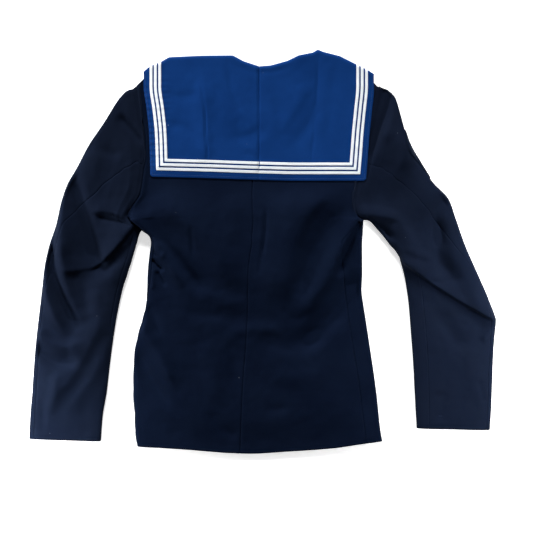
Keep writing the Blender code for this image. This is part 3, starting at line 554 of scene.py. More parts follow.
def fold_moves(points, folds):
    """How the folds near each point move it."""
    moves = np.zeros((len(points), 3))
    steps = np.linspace(0.0, 1.0, PATH_STEPS)[:, None]
    for row in folds:
        fold = dict(zip(FOLD_COLUMNS, row))
        lean = fold.get("lean", 0.0)
        first, middle, last = [np.array([fold["x%d" % i], fold["y%d" % i]]) for i in range(3)]
        control = 2 * middle - (first + last) / 2
        path = (1 - steps) ** 2 * first + 2 * steps * (1 - steps) * control + steps ** 2 * last
        reach = FOLD_REACH * max(fold["left"], fold["right"]) + abs(lean)
        after = points[:, :2] > path.min(axis=0) - reach
        before = points[:, :2] < path.max(axis=0) + reach
        near = np.all(after & before, axis=1)
        if not near.any():
            continue
        spot = points[near, :2]
        k = np.linalg.norm(spot[:, None] - path[None], axis=2).argmin(axis=1)
        way = np.gradient(path, axis=0)
        stride = np.linalg.norm(way, axis=1)
        way = way / stride[:, None]
        from_path = spot - path[k]
        beside = from_path[:, 1] * way[k, 0] - from_path[:, 0] * way[k, 1]
        along = (k + (from_path * way[k]).sum(axis=1) / stride[k]) / (PATH_STEPS - 1)
        taper = ease(FOLD_TAPER * np.minimum(along, 1 - along))
        offset = beside + lean * taper
        width = np.where(offset > 0, fold["left"], fold["right"])
        swell = taper * np.exp(-(offset / width) ** 2)
        moves[near, 2] += fold["height"] * swell
        moves[near, 0] += -way[k, 1] * lean * swell
        moves[near, 1] += way[k, 0] * lean * swell
    return moves


def ripples(points, waves, seed):
    """Slight unevenness of cloth at rest: broad waves and small ones."""
    total = np.zeros(len(points))
    for amount, scale, turn in waves:
        spots = [Vector((p[0] / scale, p[1] / scale, seed + turn)) for p in points]
        total += amount * np.array([noise.noise(spot) for spot in spots])
    return total


def spread(whole, parts, gaps, along=None, effort=None):
    """Places across a panel: a few close to each sewn side and the rest even."""
    low, high = [0.0 if gap is None else gap + EDGE_COLUMNS[-1] for gap in gaps]
    if along is None:
        middle = np.linspace(low, whole - high, parts + 1)
    else:
        ends = np.interp([low, whole - high], along, effort)
        middle = np.interp(np.linspace(ends[0], ends[1], parts + 1), effort, along)
    before = [] if gaps[0] is None else [gaps[0] + e for e in EDGE_COLUMNS[:-1]]
    after = [] if gaps[1] is None else [whole - gaps[1] - e for e in EDGE_COLUMNS[-2::-1]]
    return np.r_[before, middle, after]


class Tube:
    """A flattened tube of cloth, row by row: a top layer and a layer beneath."""

    def __init__(self, rows, steps, folds, hold, seed):
        def of(key):
            return np.array([r[key] for r in rows])[:, None]

        self.place = np.array([self.places(r["top"], r["radius"], steps) for r in rows])
        under_place = np.array([self.places(r["under"], r["radius"], steps) for r in rows])
        top = np.array([self.layer(r, r["top"], r["crown"], r["radius"], place)
                        for r, place in zip(rows, self.place)])
        under = np.array([self.layer(r, r["under"], r["floor"], UNDER_ROLL, place)
                          for r, place in zip(rows, under_place)])
        joined = of("joined")
        inset = np.minimum(self.place, self.place[:, -1:] - self.place)
        top[:, :, 2] -= (of("crown") - of("rest")) * ease((inset - of("radius")) / of("settle"))
        for layer, places, key in ((top, self.place, "top_join"), (under, under_place, "under_join")):
            met = np.array([np.interp(p / p[-1], *r[key]) for r, p in zip(rows, places)])
            layer[:, :, 2] += (met - layer[:, :, 2]) * joined
        flat = top.reshape(-1, 3)
        free = (ease(inset / hold) * (1 - joined)).reshape(-1, 1)
        moved = flat + fold_moves(flat, folds) * free
        moved[:, 2] += ripples(flat, WOOL_WAVES, seed) * free[:, 0]
        least = of("floor") + LEAST_HOLLOW * ease(inset / hold) + EDGE_RISE * (1 - roll(inset, UNDER_ROLL))
        moved[:, 2] = np.maximum(moved[:, 2], (least * (1 - joined)).reshape(-1))
        self.count = top.shape[1] - 1
        self.loops = np.concatenate([moved.reshape(top.shape), under[:, -2::-1]], axis=1)
        self.whole = self.loops.shape[1] - 1

    @staticmethod
    def places(line, radius, steps):
        """Distances across a layer, close together on its rounded edges."""
        width = lengths(line)[-1]
        radius = min(radius, WIDEST_ROLL * width)
        turn = radius * (1 - np.cos(np.linspace(0, math.pi / 2, ROLL_STEPS)))
        return np.r_[turn, np.linspace(radius, width - radius, steps)[1:-1], width - turn[::-1]]

    @staticmethod
    def layer(row, line, level, radius, place):
        """Points across one layer."""
        edge = row["floor"] + EDGE_RISE
        height = edge + (level - edge) * roll(np.minimum(place, place[-1] - place), radius)
        return np.column_stack([points_at(place, lengths(line), line), height])

    def only(self, rows):
        """The same tube with some of its rows."""
        part = copy.copy(self)
        part.loops = self.loops[rows]
        part.place = self.place[rows]
        return part

    def top_index(self, distance):
        """Place in the loop of a distance from the outer or left fold, on top."""
        return np.array([np.interp(d, p, np.arange(len(p))) for d, p in zip(distance, self.place)])

    def under_index(self, distance):
        """Place in the loop of a distance from the outer or left fold, beneath."""
        return self.whole - self.top_index(distance)

    def strip(self, start, end, parts, gaps, below):
        """Grid between two places in each loop, with the distances to its two sides."""
        grid = []
        sides = []
        for loop, first, last in zip(self.loops, start, end):
            wrapped = np.mod(np.linspace(first, last, LINE_SAMPLES), self.whole)
            fine = points_at(wrapped, np.arange(self.whole + 1), loop)
            along = lengths(fine)
            deep = (wrapped > self.count + 2 * ROLL_STEPS) & (wrapped < self.whole - 2 * ROLL_STEPS)
            effort = np.r_[0, np.cumsum(np.diff(along) * np.where(deep[1:], below, 1.0))]
            spots = spread(along[-1], parts, gaps, along, effort)
            grid.append(points_at(spots, along, fine))
            sides.append(np.column_stack([spots, along[-1] - spots]))
        return np.array(grid), np.array(sides)


def outward(grid, out):
    """Unit normals of a grid of points."""
    normal = np.cross(np.gradient(grid, axis=1), np.gradient(grid, axis=0)) * out
    return normal / np.maximum(np.linalg.norm(normal, axis=2), 1e-9)[:, :, None]


def dipped(grid, distance, depth, soft, out):
    """A grid whose points sink in beside a seam."""
    return grid - outward(grid, out) * (depth * np.exp(-(distance / soft) ** 2))[:, :, None]


def seamed(grid, distance, out, depth=SEAM_DIP):
    """A grid with the dip of a plain seam."""
    return dipped(grid, distance, depth, SEAM_SOFT, out)


def turned_up(grid, out):
    """A grid whose last row is turned in, as at a hem."""
    inward = -outward(grid, out)[-1]
    back = grid[-1 - EDGE_ROWS] - grid[-1]
    back = back / np.linalg.norm(back, axis=1)[:, None]
    bends = [(TURN_GAP / 2 * (1 - math.cos(a)), -TURN_GAP / 2 * math.sin(a))
             for a in map(math.radians, TURN_ANGLES)]
    bends += [(TURN_GAP, depth) for depth in TURN_DEPTHS]
    turning = [grid[-1] + inward * drop + back * reach for drop, reach in bends]
    return np.concatenate([grid, np.array(turning)])


def tucked(grid, out):
    """A grid whose first row runs on inside the seam, as an allowance."""
    inward = -outward(grid, out)[0]
    ahead = grid[0] - grid[EDGE_ROWS]
    ahead = ahead / np.linalg.norm(ahead, axis=1)[:, None]
    allowance = [grid[0] + inward * drop + ahead * reach for reach, drop in ALLOWANCE]
    return np.concatenate([np.array(allowance), grid])


def cloth_piece(name, grids, thickness, material, out=1, merge=False):
    """A mesh of quads from grids of points, with the cloth's own coordinates, given a wall."""
    mesh = bpy.data.meshes.new(name)
    sheet = bmesh.new()
    uv = sheet.loops.layers.uv.new("cloth")
    for grid in grids:
        rows, cols = grid.shape[:2]
        middle = slice(cols // 2, cols // 2 + 1)
        u = run_of(grid, 1)
        u -= u[:, middle]
        v = np.repeat(run_of(grid, 0)[:, middle], cols, axis=1)
        verts = [[sheet.verts.new(tuple(grid[i, j] * MM)) for j in range(cols)] for i in range(rows)]
        for i in range(rows - 1):
            for j in range(cols - 1):
                corners = ((i, j), (i, j + 1), (i + 1, j + 1), (i + 1, j))[::out]
                face = sheet.faces.new([verts[a][b] for a, b in corners])
                face.smooth = True
                for loop, (a, b) in zip(face.loops, corners):
                    loop[uv].uv = (u[a, b] * MM, v[a, b] * MM)
    if merge:
        bmesh.ops.remove_doubles(sheet, verts=sheet.verts, dist=WELD * MM)
        bmesh.ops.recalc_face_normals(sheet, faces=sheet.faces)
    sheet.to_mesh(mesh)
    sheet.free()
    piece = bpy.data.objects.new(name, mesh)
    bpy.context.scene.collection.objects.link(piece)
    piece.data.materials.append(material)
    solid = piece.modifiers.new("wall", "SOLIDIFY")
    solid.thickness = thickness * MM
    solid.offset = 0.0
    return piece


def levels_of(table):
    """Levels of a table's rows of cloth, from its top row to its last."""
    return np.append(np.arange(table[0][0], table[-1][0], -ROW_STEP), table[-1][0])


def shoulder_lift(x, y):
    """How far the body pieces reach above their last level, up to the shoulder."""
    share = np.clip((y - YOKE_AT["y"][3]) / SHOULDER_EASE, 0, 1)
    return (np.interp(x, SHOULDER_AT["x"], SHOULDER_AT["y"]) - YOKE_AT["y"][0]) * share


def hem_drop(x, y):
    """How far the cloth hangs below its level, growing towards the hem."""
    return curve_at(HEM_AT, "drop", x) * np.clip((TORSO_AT["y"][-1] + HEM_EASE - y) / HEM_EASE, 0, 1)


def front_level(y):
    """Height of the front, which lies on the collar's ends at the chest."""
    return FLOOR_Z + (FRONT_HIGH_Z - FLOOR_Z) * np.clip((y - CHEST_LOW) / CHEST_RISE, 0, 1)


def torso():
    """The body tube below the underarm, with its table at every row."""
    levels = levels_of(TORSO)
    at = {name: spline(-TORSO_AT["y"], TORSO_AT[name], -levels) for name in TORSO_COLUMNS}
    rows = []
    for i, y in enumerate(levels):
        across = np.linspace(at["left"][i] + WOOL / 2, at["right"][i] - WOOL / 2, BODY_LINE_POINTS)
        line = np.column_stack([across, y + hem_drop(across, y)])
        floor = float(front_level(y))
        rest = BODY_REST + (HEM_REST - BODY_REST) * float(ease((HEM_REST_TOP - y) / HEM_REST_EASE))
        rows.append({"top": line, "under": line, "crown": at["crown"][i], "floor": floor,
                     "radius": BODY_ROLL, "rest": max(rest, floor + LEAST_HOLLOW), "settle": BODY_SETTLE,
                     "joined": 0.0, "top_join": NO_JOIN, "under_join": NO_JOIN})
    return Tube(rows, BODY_STEPS, BODY_FOLDS, BODY_HOLD, BODY_SEED), at


def yoke_grid(at, start, end, parts):
    """Rows of the back above the underarm between two seams."""
    grid = []
    sides = []
    ends = []
    for i, y in enumerate(at["y"]):
        spots = spread(end[i] - start[i], parts, BOTH_SEAMS)
        x = start[i] + spots
        z = np.full(len(x), BACK_LOW_Z)
        raised = YOKE_RISE * ease((COLLAR_BOTTOM[-1][1] - y) / YOKE_EASE)
        insets = {"left": x - at["left"][i], "right": at["right"][i] - x}
        for side, inset in insets.items():
            z += (at[side + "_crown"][i] - BACK_LOW_Z) * (1 - ease(inset / YOKE_SETTLE))
            raised = raised * ease(inset / YOKE_SIDE_EASE)
        grid.append(np.column_stack([x, y + shoulder_lift(x, y), z + raised]))
        sides.append(np.column_stack([spots, end[i] - start[i] - spots]))
        ends.append(np.minimum(*insets.values()))
    grid = np.array(grid)
    flat = grid.reshape(-1, 3)
    below_collar = ease((COLLAR_BOTTOM[-1][1] + COLLAR_COVER - flat[:, 1]) / COLLAR_FREE)
    free = (below_collar * ease(np.concatenate(ends) / YOKE_HOLD))[:, None]
    moved = flat + fold_moves(flat, BODY_FOLDS) * free
    moved[:, 2] += ripples(flat, WOOL_WAVES, BODY_SEED) * free[:, 0]
    moved[:, 2] = np.maximum(moved[:, 2], FRONT_HIGH_Z + WOOL)
    return moved.reshape(grid.shape), np.array(sides)


def bridged(upper, lower):
    """Two grids joined by rows that pass from one to the other."""
    steps = BRIDGE_ROWS + 1
    between = [upper[-1] + (lower[0] - upper[-1]) * k / steps for k in range(1, steps)]
    return np.concatenate([upper, np.array(between), lower])


def back_panel(side, tube, yoke, seams, yoke_seams, parts, wool):
    """One half of the back, from the shoulder to the hem, with its seams' dips."""
    lower, lower_sides = tube.strip(*seams, parts, BOTH_SEAMS, BACK_BELOW)
    upper, upper_sides = yoke_grid(yoke, *[yoke[name] for name in yoke_seams], parts)
    grid = bridged(upper, lower)
    sides = bridged(upper_sides, lower_sides)
    crown = np.zeros(len(grid))
    crown[:len(upper)] = yoke[side + "_crown"]
    in_yoke = np.arange(len(grid)) < len(upper) + BRIDGE_ROWS
    depth = np.where(in_yoke, np.clip(crown - ARMHOLE_BASE_Z, SHALLOW_DIP, ARMHOLE_DIP), BODY_SEAM_DIP)
    soft = np.where(in_yoke, ARMHOLE_SOFT, SEAM_SOFT)
    outer = 0 if side == "left" else 1
    grid = dipped(grid, sides[:, :, outer], depth[:, None], soft[:, None], -1)
    grid = seamed(grid, sides[:, :, 1 - outer], -1, BODY_SEAM_DIP)
    return cloth_piece("back_panel_" + side, [turned_up(grid, -1)], WOOL, wool, -1)


def front_half(side, joint):
    """The front above the underarm on one side of the V, down to its joint with the tube."""
    corners = list(FRONT_ARMHOLE_LEVELS)
    rows = []
    for y in np.linspace(YOKE[0][0], YOKE[-1][0], FRONT_ROWS):
        opening = np.clip((y - YOKE[V_LEVEL][0]) / (YOKE[0][0] - YOKE[V_LEVEL][0]), 0, 1)
        centre_x = np.interp(-y, -YOKE_AT["y"], YOKE_AT["centre"])
        neck = centre_x + (NECK_CENTRE - centre_x) * opening
        armhole = np.interp(-y, -YOKE_AT["y"][corners], YOKE_AT[side][corners])
        half = NECK_HALF * opening
        ends = (armhole, neck + half) if side == "right" else (neck - half, armhole)
        x = np.linspace(*ends, len(joint))
        rows.append(np.column_stack([x, y + shoulder_lift(x, y), np.full(len(x), float(front_level(y)))]))
    return np.array(rows + [joint])


def body_pieces(wool):
    """The two halves of the back and the front that wraps round to them."""
    tube, at = torso()
    yoke = {name: spline(-YOKE_AT["y"], YOKE_AT[name], -levels_of(YOKE)) for name in YOKE_COLUMNS}
    left_edge = at["left"] + WOOL / 2
    seam = at["left_seam"]
    left = np.where(seam >= 0, tube.top_index(np.maximum(seam, 0)), -tube.top_index(np.maximum(-seam, 0)))
    centre = tube.top_index(at["centre"] - left_edge)
    right = tube.top_index(at["right_seam"] - left_edge)
    made = [
        back_panel("left", tube, yoke, (left, centre), ("left", "centre"), LEFT_BACK_PARTS, wool),
        back_panel("right", tube, yoke, (centre, right), ("centre", "right"), RIGHT_BACK_PARTS, wool),
    ]
    wide = at["right"] - at["left"] - WOOL
    right_base = tube.under_index(wide - UNDER_ROLL)
    left_base = tube.under_index(np.maximum(UNDER_ROLL, -seam + UNDER_ROLL / 2))
    middle = tube.under_index(at["centre"] - left_edge)
    side_right, right_sides = tube.strip(right, right_base, RIGHT_SIDE_PARTS, (SEAM_GAP, None), 1.0)
    side_left, left_sides = tube.strip(left_base, tube.whole + left, LEFT_SIDE_PARTS, (None, SEAM_GAP), 1.0)
    under_right = tube.strip(right_base, middle, FRONT_PARTS, (None, None), 1.0)[0]
    under_left = tube.strip(middle, left_base, FRONT_PARTS, (None, None), 1.0)[0]
    side_right = seamed(side_right, right_sides[:, :, 0], -1, BODY_SEAM_DIP)
    side_left = seamed(side_left, left_sides[:, :, 1], -1, BODY_SEAM_DIP)
    lower = np.concatenate([side_right, under_right[:, 1:], under_left[:, 1:], side_left[:, 1:]], axis=1)
    grids = [turned_up(lower, -1)]
    first = side_right.shape[1] - 1
    for side in ("right", "left"):
        grids.append(front_half(side, lower[0, first:first + FRONT_PARTS + 1]))
        first += FRONT_PARTS
    made.append(cloth_piece("front_panel", grids, WOOL, wool, -1, merge=True))
    return made


def offset_line(points, distance):
    """A line moved sideways to its left, with mitred corners."""
    ways = np.diff(points, axis=0)
    ways /= np.linalg.norm(ways, axis=1)[:, None]
    normals = np.column_stack([-ways[:, 1], ways[:, 0]])
    before = np.vstack([normals[:1], normals])
    after = np.vstack([normals, normals[-1:]])
    mitre = (before + after) / (1 + (before * after).sum(axis=1))[:, None]
    return points + mitre * distance


def bowed(start, end, shape, share, distance):
    """A line across the sleeve, blended with the armhole's curve moved outwards."""
    steps = np.linspace(0, 1, SLEEVE_LINE_POINTS)[:, None]
    straight = start + (end - start) * steps
    if share <= 0:
        return straight
    curve = offset_line(shape, distance)
    curve[0] = start
    curve[-1] = end
    along = lengths(curve)
    even = points_at(steps[:, 0] * along[-1], along, curve)
    for _ in range(BOW_SMOOTHING):
        even[1:-1] = (even[:-2] + 2 * even[1:-1] + even[2:]) / 4
    return straight * (1 - share) + even * share


def crossing(line, seam):
    """Distance along a line to where a seam crosses it."""
    path = np.array(seam, dtype=float)
    fine = np.vstack([np.linspace(a, b, SEAM_SAMPLES) for a, b in zip(path, path[1:])])
    along = lengths(line)
    dense = np.linspace(0, along[-1], LINE_SAMPLES)
    spots = points_at(dense, along, line)
    away = np.linalg.norm(spots[:, None] - fine[None], axis=2).min(axis=1)
    return float(dense[away.argmin()])


def armhole_joins(side, shoulder, underarm):
    """The armhole's curve on the back and on the front, each with its heights along it."""
    y = YOKE_AT["y"]
    corners = list(FRONT_ARMHOLE_LEVELS)
    level = np.linspace(YOKE[0][0], YOKE[-1][0], ARMHOLE_POINTS)
    edges = (
        (spline(-y, YOKE_AT[side], -level), level, spline(-y, YOKE_AT[side + "_crown"], -level)),
        (YOKE_AT[side][corners], y[corners], front_level(y[corners])),
    )
    joins = []
    for edge_x, edge_y, edge_z in edges:
        shape = np.vstack([shoulder, np.column_stack([edge_x, edge_y]), underarm])
        run = lengths(shape)
        heights = np.r_[(BACK_LOW_Z + FRONT_HIGH_Z) / 2, edge_z, FLOOR_Z + EDGE_RISE]
        joins.append({"shape": shape, "run": run, "join": (run / run[-1], heights)})
    return joins


def sleeve_rows(arm):
    """Rows of one sleeve from the armhole to the cuff, and each row's place in the table."""
    table = arm["table"]
    at = columns(SLEEVE_COLUMNS, table)
    outer = np.column_stack([at["outer_x"], at["outer_y"]])
    inner = np.column_stack([at["inner_x"], at["inner_y"]])
    reach = np.maximum(*[np.linalg.norm(np.diff(line, axis=0), axis=1) for line in (outer, inner)])
    where = np.concatenate([np.linspace(k, k + 1, max(3, int(round(r / ROW_STEP))), endpoint=False)
                            for k, r in enumerate(reach)] + [[len(table) - 1]])
    fine = {name: spline(np.arange(len(table)), at[name], where) for name in SLEEVE_COLUMNS}
    back, front = armhole_joins(arm["side"], outer[0], inner[0])
    rows = []
    for i, k in enumerate(where):
        start = np.array([fine["outer_x"][i], fine["outer_y"][i]])
        end = np.array([fine["inner_x"][i], fine["inner_y"][i]])
        inward = (end - start) / np.linalg.norm(end - start) * WOOL / 2
        crown = fine["crown"][i]
        lift = fine["lift"][i]
        bend = (fine["bow"][i], arm["out"] * max(fine["away"][i], ARMHOLE_GAP))
        cuff = CUFF_LIFT * float(ease(k - len(table) + CUFF_ROWS))
        rows.append({"top": bowed(start + inward, end - inward, back["shape"], *bend),
                     "under": bowed(start + inward, end - inward, front["shape"], *bend),
                     "crown": crown, "floor": FLOOR_Z + lift, "radius": SLEEVE_ROLL,
                     "rest": min(crown, SLEEVE_REST + lift + cuff), "settle": SLEEVE_SETTLE,
                     "joined": float(1 - ease(k)), "top_join": back["join"], "under_join": front["join"]})
    return rows, where, back["run"]


def sleeve_pieces(arm, wool):
    """Top sleeve and under sleeve of one arm, with the tube that they are cut from."""
    rows, where, run = sleeve_rows(arm)
    tube = Tube(rows, SLEEVE_STEPS, arm["folds"], SLEEVE_HOLD, arm["seed"])
    levels = np.linspace(YOKE[0][0], YOKE[-1][0], ARMHOLE_POINTS)
    hind_knots = [run[np.abs(levels - YOKE[HINDARM_LEVEL][0]).argmin() + 1]]
    fore_knots = [FOREARM_START]
    for k in range(1, len(arm["table"])):
        line = rows[int(np.abs(where - k).argmin())]["top"]
        hind_knots.append(crossing(line, arm["hindarm"]))
        inset = max(lengths(line)[-1] - crossing(line, arm["forearm"]), FOREARM_HIDE)
        fore_knots.append(inset if arm["shown"][0] <= k <= arm["shown"][1] else -FOREARM_HIDE)
    knots = np.arange(len(arm["table"]))
    hind = tube.top_index(spline(knots, hind_knots, where))
    inset = spline(knots, fore_knots, where)
    width = tube.place[:, -1]
    beneath = 2 * tube.count - tube.top_index(width + np.minimum(inset, 0))
    fore = np.where(inset >= 0, tube.top_index(width - inset), beneath)
    out = arm["out"]
    made = []
    cuts = (("top", fore, tube.whole + hind, TOP_PARTS), ("under", hind, fore, UNDER_PARTS))
    for name, start, end, parts in cuts:
        grid, sides = tube.strip(start, end, parts, BOTH_SEAMS, SLEEVE_BELOW)
        from_armhole = run_of(grid, 0)
        grid = seamed(seamed(grid, sides[:, :, 0], out), sides[:, :, 1], out)
        grid = dipped(grid, from_armhole, SLEEVE_ARMHOLE_DIP, ARMHOLE_SOFT, out)
        grid = turned_up(tucked(grid, out), out)
        grid[:, :, 2] = np.maximum(grid[:, :, 2], FLOOR_Z)
        made.append(cloth_piece(name + "_sleeve_cloth_" + arm["side"], [grid], WOOL, wool, out))
    return made, tube, where


def patch_piece(tube, where, wool):
    """Plain patch round the right sleeve's outer fold."""
    at = columns(PATCH_COLUMNS, PATCH)
    rows = np.where((where >= at["section"][0]) & (where <= at["section"][-1]))[0]
    top, under = [spline(at["section"], at[key], where[rows]) for key in ("top", "under")]
    part = tube.only(rows)
    grid, sides = part.strip(-part.top_index(under), part.top_index(top), PATCH_PARTS, (0.0, 0.0), 1.0)
    edge = np.minimum(sides[:, :, 0], sides[:, :, 1])
    lift = (WOOL + PATCH_CLOTH) / 2 + PATCH_GAP - PATCH_EDGE_DIP * np.exp(-(edge / PATCH_EDGE_SOFT) ** 2)
    grid = grid + outward(grid, 1) * lift[:, :, None]
    grid[:, :, 2] = np.maximum(grid[:, :, 2], PATCH_CLOTH / 2 + LEAST_GAP)
    return cloth_piece("sleeve_patch", [grid], PATCH_CLOTH, wool, 1)


def collar_side(y, side):
    """The collar's left or right edge at a level."""
    return curve_at(SIDES_AT, side, y, "y")


def collar_low(x):
    """The collar's bottom edge at a place across it."""
    return curve_at(BOTTOM_AT, "y", x)


def collar_height(points):
    """Height of the collar's middle layer, with its creases and waves."""
    x = points[:, 0]
    y = points[:, 1]
    flat = np.column_stack([x, y, np.zeros(len(x))])
    waves = fold_moves(flat, COLLAR_FOLDS)[:, 2] + ripples(flat, COTTON_WAVES, COLLAR_SEED)
    puff = COLLAR_PUFF * np.exp(-((curve_at(TOP_AT, "y", x) - y) / COLLAR_PUFF_SOFT) ** 2)
    seam = COLLAR_SEAM_DIP * np.exp(-((x - COLLAR_SEAM_X) / COLLAR_SEAM_SOFT) ** 2)
    from_low = y - collar_low(x)
    from_side = np.minimum(x - collar_side(y, "left"), collar_side(y, "right") - x)
    rest = COLLAR_REST * ease(np.minimum(from_low, from_side) / COLLAR_REST_EASE)
    lifted = COLLAR_LOW_LIFT * np.exp(-(from_low / COLLAR_LOW_SOFT) ** 2)
    height = COLLAR_BASE_Z + COLLAR_GAP + rest + puff + waves - seam + lifted
    return np.maximum(height, COLLAR_BASE_Z - COLLAR_SINK)


def roll_of(x):
    """Where the collar starts to roll at a place across it, and the roll's radius."""
    top = np.interp(x, TOP_AT["x"], TOP_AT["y"])
    radius = (collar_height(np.column_stack([x, top - ROLL_START])) - COLLAR_FRONT_Z) / 2
    return top - radius - COLLAR_CLOTH / 2, radius


def rolled(x, y, z, lift=0.0, angles=None):
    """Rows over the collar's roll: from its top layer at a height down to its front."""
    radius = (z - COLLAR_FRONT_Z) / 2 + lift
    middle = (z + COLLAR_FRONT_Z) / 2
    return np.array([np.column_stack([x, y + radius * math.cos(a), middle + radius * math.sin(a)])
                     for a in np.radians(ROLL_ANGLES if angles is None else angles)])


def collar_shares(wide):
    """Places across the collar: close together at its edges and at the centre seam."""
    seam = (COLLAR_SEAM_X - COLLAR_SIDES[0][1]) / wide
    edge = np.array(COLLAR_EDGE) / wide
    even = np.arange(COLLAR_EDGE[-1] + COLLAR_STEP, wide - COLLAR_EDGE[-1] - 1.0, COLLAR_STEP) / wide
    even = even[np.abs(even - seam) * wide > SEAM_CLEAR]
    return np.sort(np.r_[edge, even, 1 - edge, seam + np.array(SEAM_COLUMNS) / wide])


def collar_flap(shares, rolls):
    """The collar's square flap, from its bottom edge up to where it starts to roll."""
    tall = float(np.median(rolls)) - COLLAR_BOTTOM[2][1]
    levels = np.r_[np.array(COLLAR_EDGE) / tall, np.linspace(COLLAR_EDGE[-1] / tall, 1, FLAP_ROWS)[1:]]
    flap = []
    for level in levels:
        y_mid = COLLAR_BOTTOM[0][1] * (1 - level) + rolls[0] * level
        left = float(collar_side(y_mid, "left")) + COLLAR_CLOTH / 2
        right = float(collar_side(y_mid, "right")) - COLLAR_CLOTH / 2
        x = left + shares * (right - left)
        from_side = np.minimum(x - left, right - x)
        corner = np.maximum(COLLAR_CORNER - from_side, 0)
        low = collar_low(x) + COLLAR_CORNER - np.sqrt(np.maximum(COLLAR_CORNER ** 2 - corner ** 2, 0))
        y = low + (rolls - low) * level
        z = collar_height(np.column_stack([x, y]))
        inset = np.minimum(from_side, y - low)
        z -= EDGE_DIP * np.exp(-(inset / EDGE_DIP_SOFT) ** 2)
        z -= STITCH_DIP * np.exp(-((inset - STITCH_INSET) / STITCH_DIP_SOFT) ** 2)
        flap.append(np.column_stack([x, y, z]))
    return np.array(flap)


def front_end(turn, tip):
    """One front end of the collar, from its roll at the shoulder to the V."""
    last = turn[-1]
    share = np.linspace(0, 1, len(last))[:, None]
    first, second = [np.array([x, y, COLLAR_FRONT_Z]) for x, y in tip]
    tip_row = first + (second - first) * share
    steps = np.linspace(0, 1, FRONT_END_ROWS)[1:]
    return np.concatenate([turn, [last + (tip_row - last) * step for step in steps]])


def collar_piece(cloth):
    """Square flap, rolled over the neck and shoulders to the front ends and the stand."""
    shares = collar_shares(COLLAR_SIDES[0][2] - COLLAR_SIDES[0][1])
    rolls = roll_of(TOP_AT["x"][0] + shares * (TOP_AT["x"][-1] - TOP_AT["x"][0]))[0]
    flap = collar_flap(shares, rolls)
    turn = rolled(*flap[-1].T)
    first, last = [int(np.searchsorted(flap[-1, :, 0], x)) for x in (NECK_LEFT, NECK_RIGHT)]
    left_end = front_end(turn[:, :first + 1], LEFT_FRONT_TIP)
    right_end = front_end(turn[:, last:][:, ::-1], RIGHT_FRONT_TIP)
    stand = [row[first:last + 1] for row in turn[:STAND_ROWS]]
    inside = stand[0].copy()
    inside[:, 1] = np.interp(inside[:, 0], SHOULDER_AT["x"], SHOULDER_AT["y"]) - NECK_ALLOWANCE
    inside[:, 2] = BACK_LOW_Z - (WOOL + COLLAR_CLOTH) / 2
    stand += [stand[-1] + (inside - stand[-1]) * f for f in STAND_STEPS]
    grids = [flap, left_end, right_end, np.array(stand)]
    return cloth_piece("collar_cloth", grids, COLLAR_CLOTH, cloth, merge=True)


def collar_line(inset, lift, run_on=True):
    """A line on the collar, that far in from its edge: shoulder, flap and shoulder."""
    corners = []
    legs = []
    for side, end, sign, front in (("left", 0, 1, LEFT_FRONT_TIP), ("right", -1, -1, RIGHT_FRONT_TIP)):
        corner = np.array([0.0, COLLAR_BOTTOM[2][1]])
        for _ in range(CORNER_ROUNDS):
            corner[0] = float(collar_side(corner[1], side)) + sign * inset
            corner[1] = float(collar_low(corner[0])) + inset
        corners.append(corner)
        top = np.array([TOP_AT["x"][end], TOP_AT["y"][end]])
        y_top = float(roll_of(np.array([top[0] + sign * inset]))[0][0])
        y = np.linspace(y_top, corner[1], int(round((COLLAR_TOP[0][1] - COLLAR_BOTTOM[0][1]) / COLLAR_STEP)))
        leg = np.column_stack([collar_side(y, side) + sign * inset, y])
        line = np.column_stack([leg, collar_height(leg) + lift])
        if run_on:
            over = rolled(leg[:1, 0], y_top, collar_height(leg[:1]), lift, ROLL_ANGLES[1:])[:, 0]
            tip = np.array(front[0], dtype=float)
            way = tip - top + (0, TIP_LOWER)
            way /= np.linalg.norm(way)
            reach = (tip - leg[0]) @ way - TIP_MITRE * inset
            spots = [leg[0] + way * reach * f for f in np.linspace(0, 1, FRONT_END_ROWS)[1:]]
            ends = np.column_stack([spots, np.full(len(spots), COLLAR_FRONT_Z - lift)])
            line = np.vstack([ends[::-1], over[::-1], line])
        legs.append(line)
    count = int(round((COLLAR_SIDES[0][2] - COLLAR_SIDES[0][1]) / COLLAR_STEP))
    x = np.linspace(corners[0][0], corners[1][0], count)
    bottom = np.column_stack([x, collar_low(x) + inset])
    bottom = np.column_stack([bottom, collar_height(bottom) + lift])
    return np.vstack([legs[0], bottom[1:-1], legs[1][::-1]])


def tape_piece(name, inset, tape):
    """One tape along the collar, with thin selvedges."""
    lift = (COLLAR_CLOTH + TAPE_CLOTH) / 2 + LEAST_GAP
    lines = [collar_line(inset + across, lift - drop) for across, drop in TAPE_SECTION]
    return cloth_piece(name, [np.array(lines)], TAPE_CLOTH, tape)


def feed(tree, made, links):
    """Set a node's inputs, each to a value or from another node's output."""
    for key, value in links.items():
        if isinstance(value, bpy.types.NodeSocket):
            tree.links.new(value, made.inputs[key])
        else:
            made.inputs[key].default_value = value
    return made


def node(tree, kind, links=None, **settings):
    """A new node: settings are its properties, links its sockets' values or sources."""
    made = tree.nodes.new(kind)
    for key, value in settings.items():
        setattr(made, key, value)
    return feed(tree, made, links or {})


def placed(tree, shared, links):
    """A shared group placed in a material."""
    return node(tree, "ShaderNodeGroup", links, node_tree=shared).outputs


def maths(tree, operation, a, b=0.5, c=0.5):
    """Result of one sum on values or sockets."""
    return node(tree, "ShaderNodeMath", {0: a, 1: b, 2: c}, operation=operation).outputs[0]


def mixed(tree, share, first, second):
    """Two colours mixed by a share."""
    return node(tree, "ShaderNodeMix", {0: share, 6: first, 7: second}, data_type="RGBA").outputs[2]


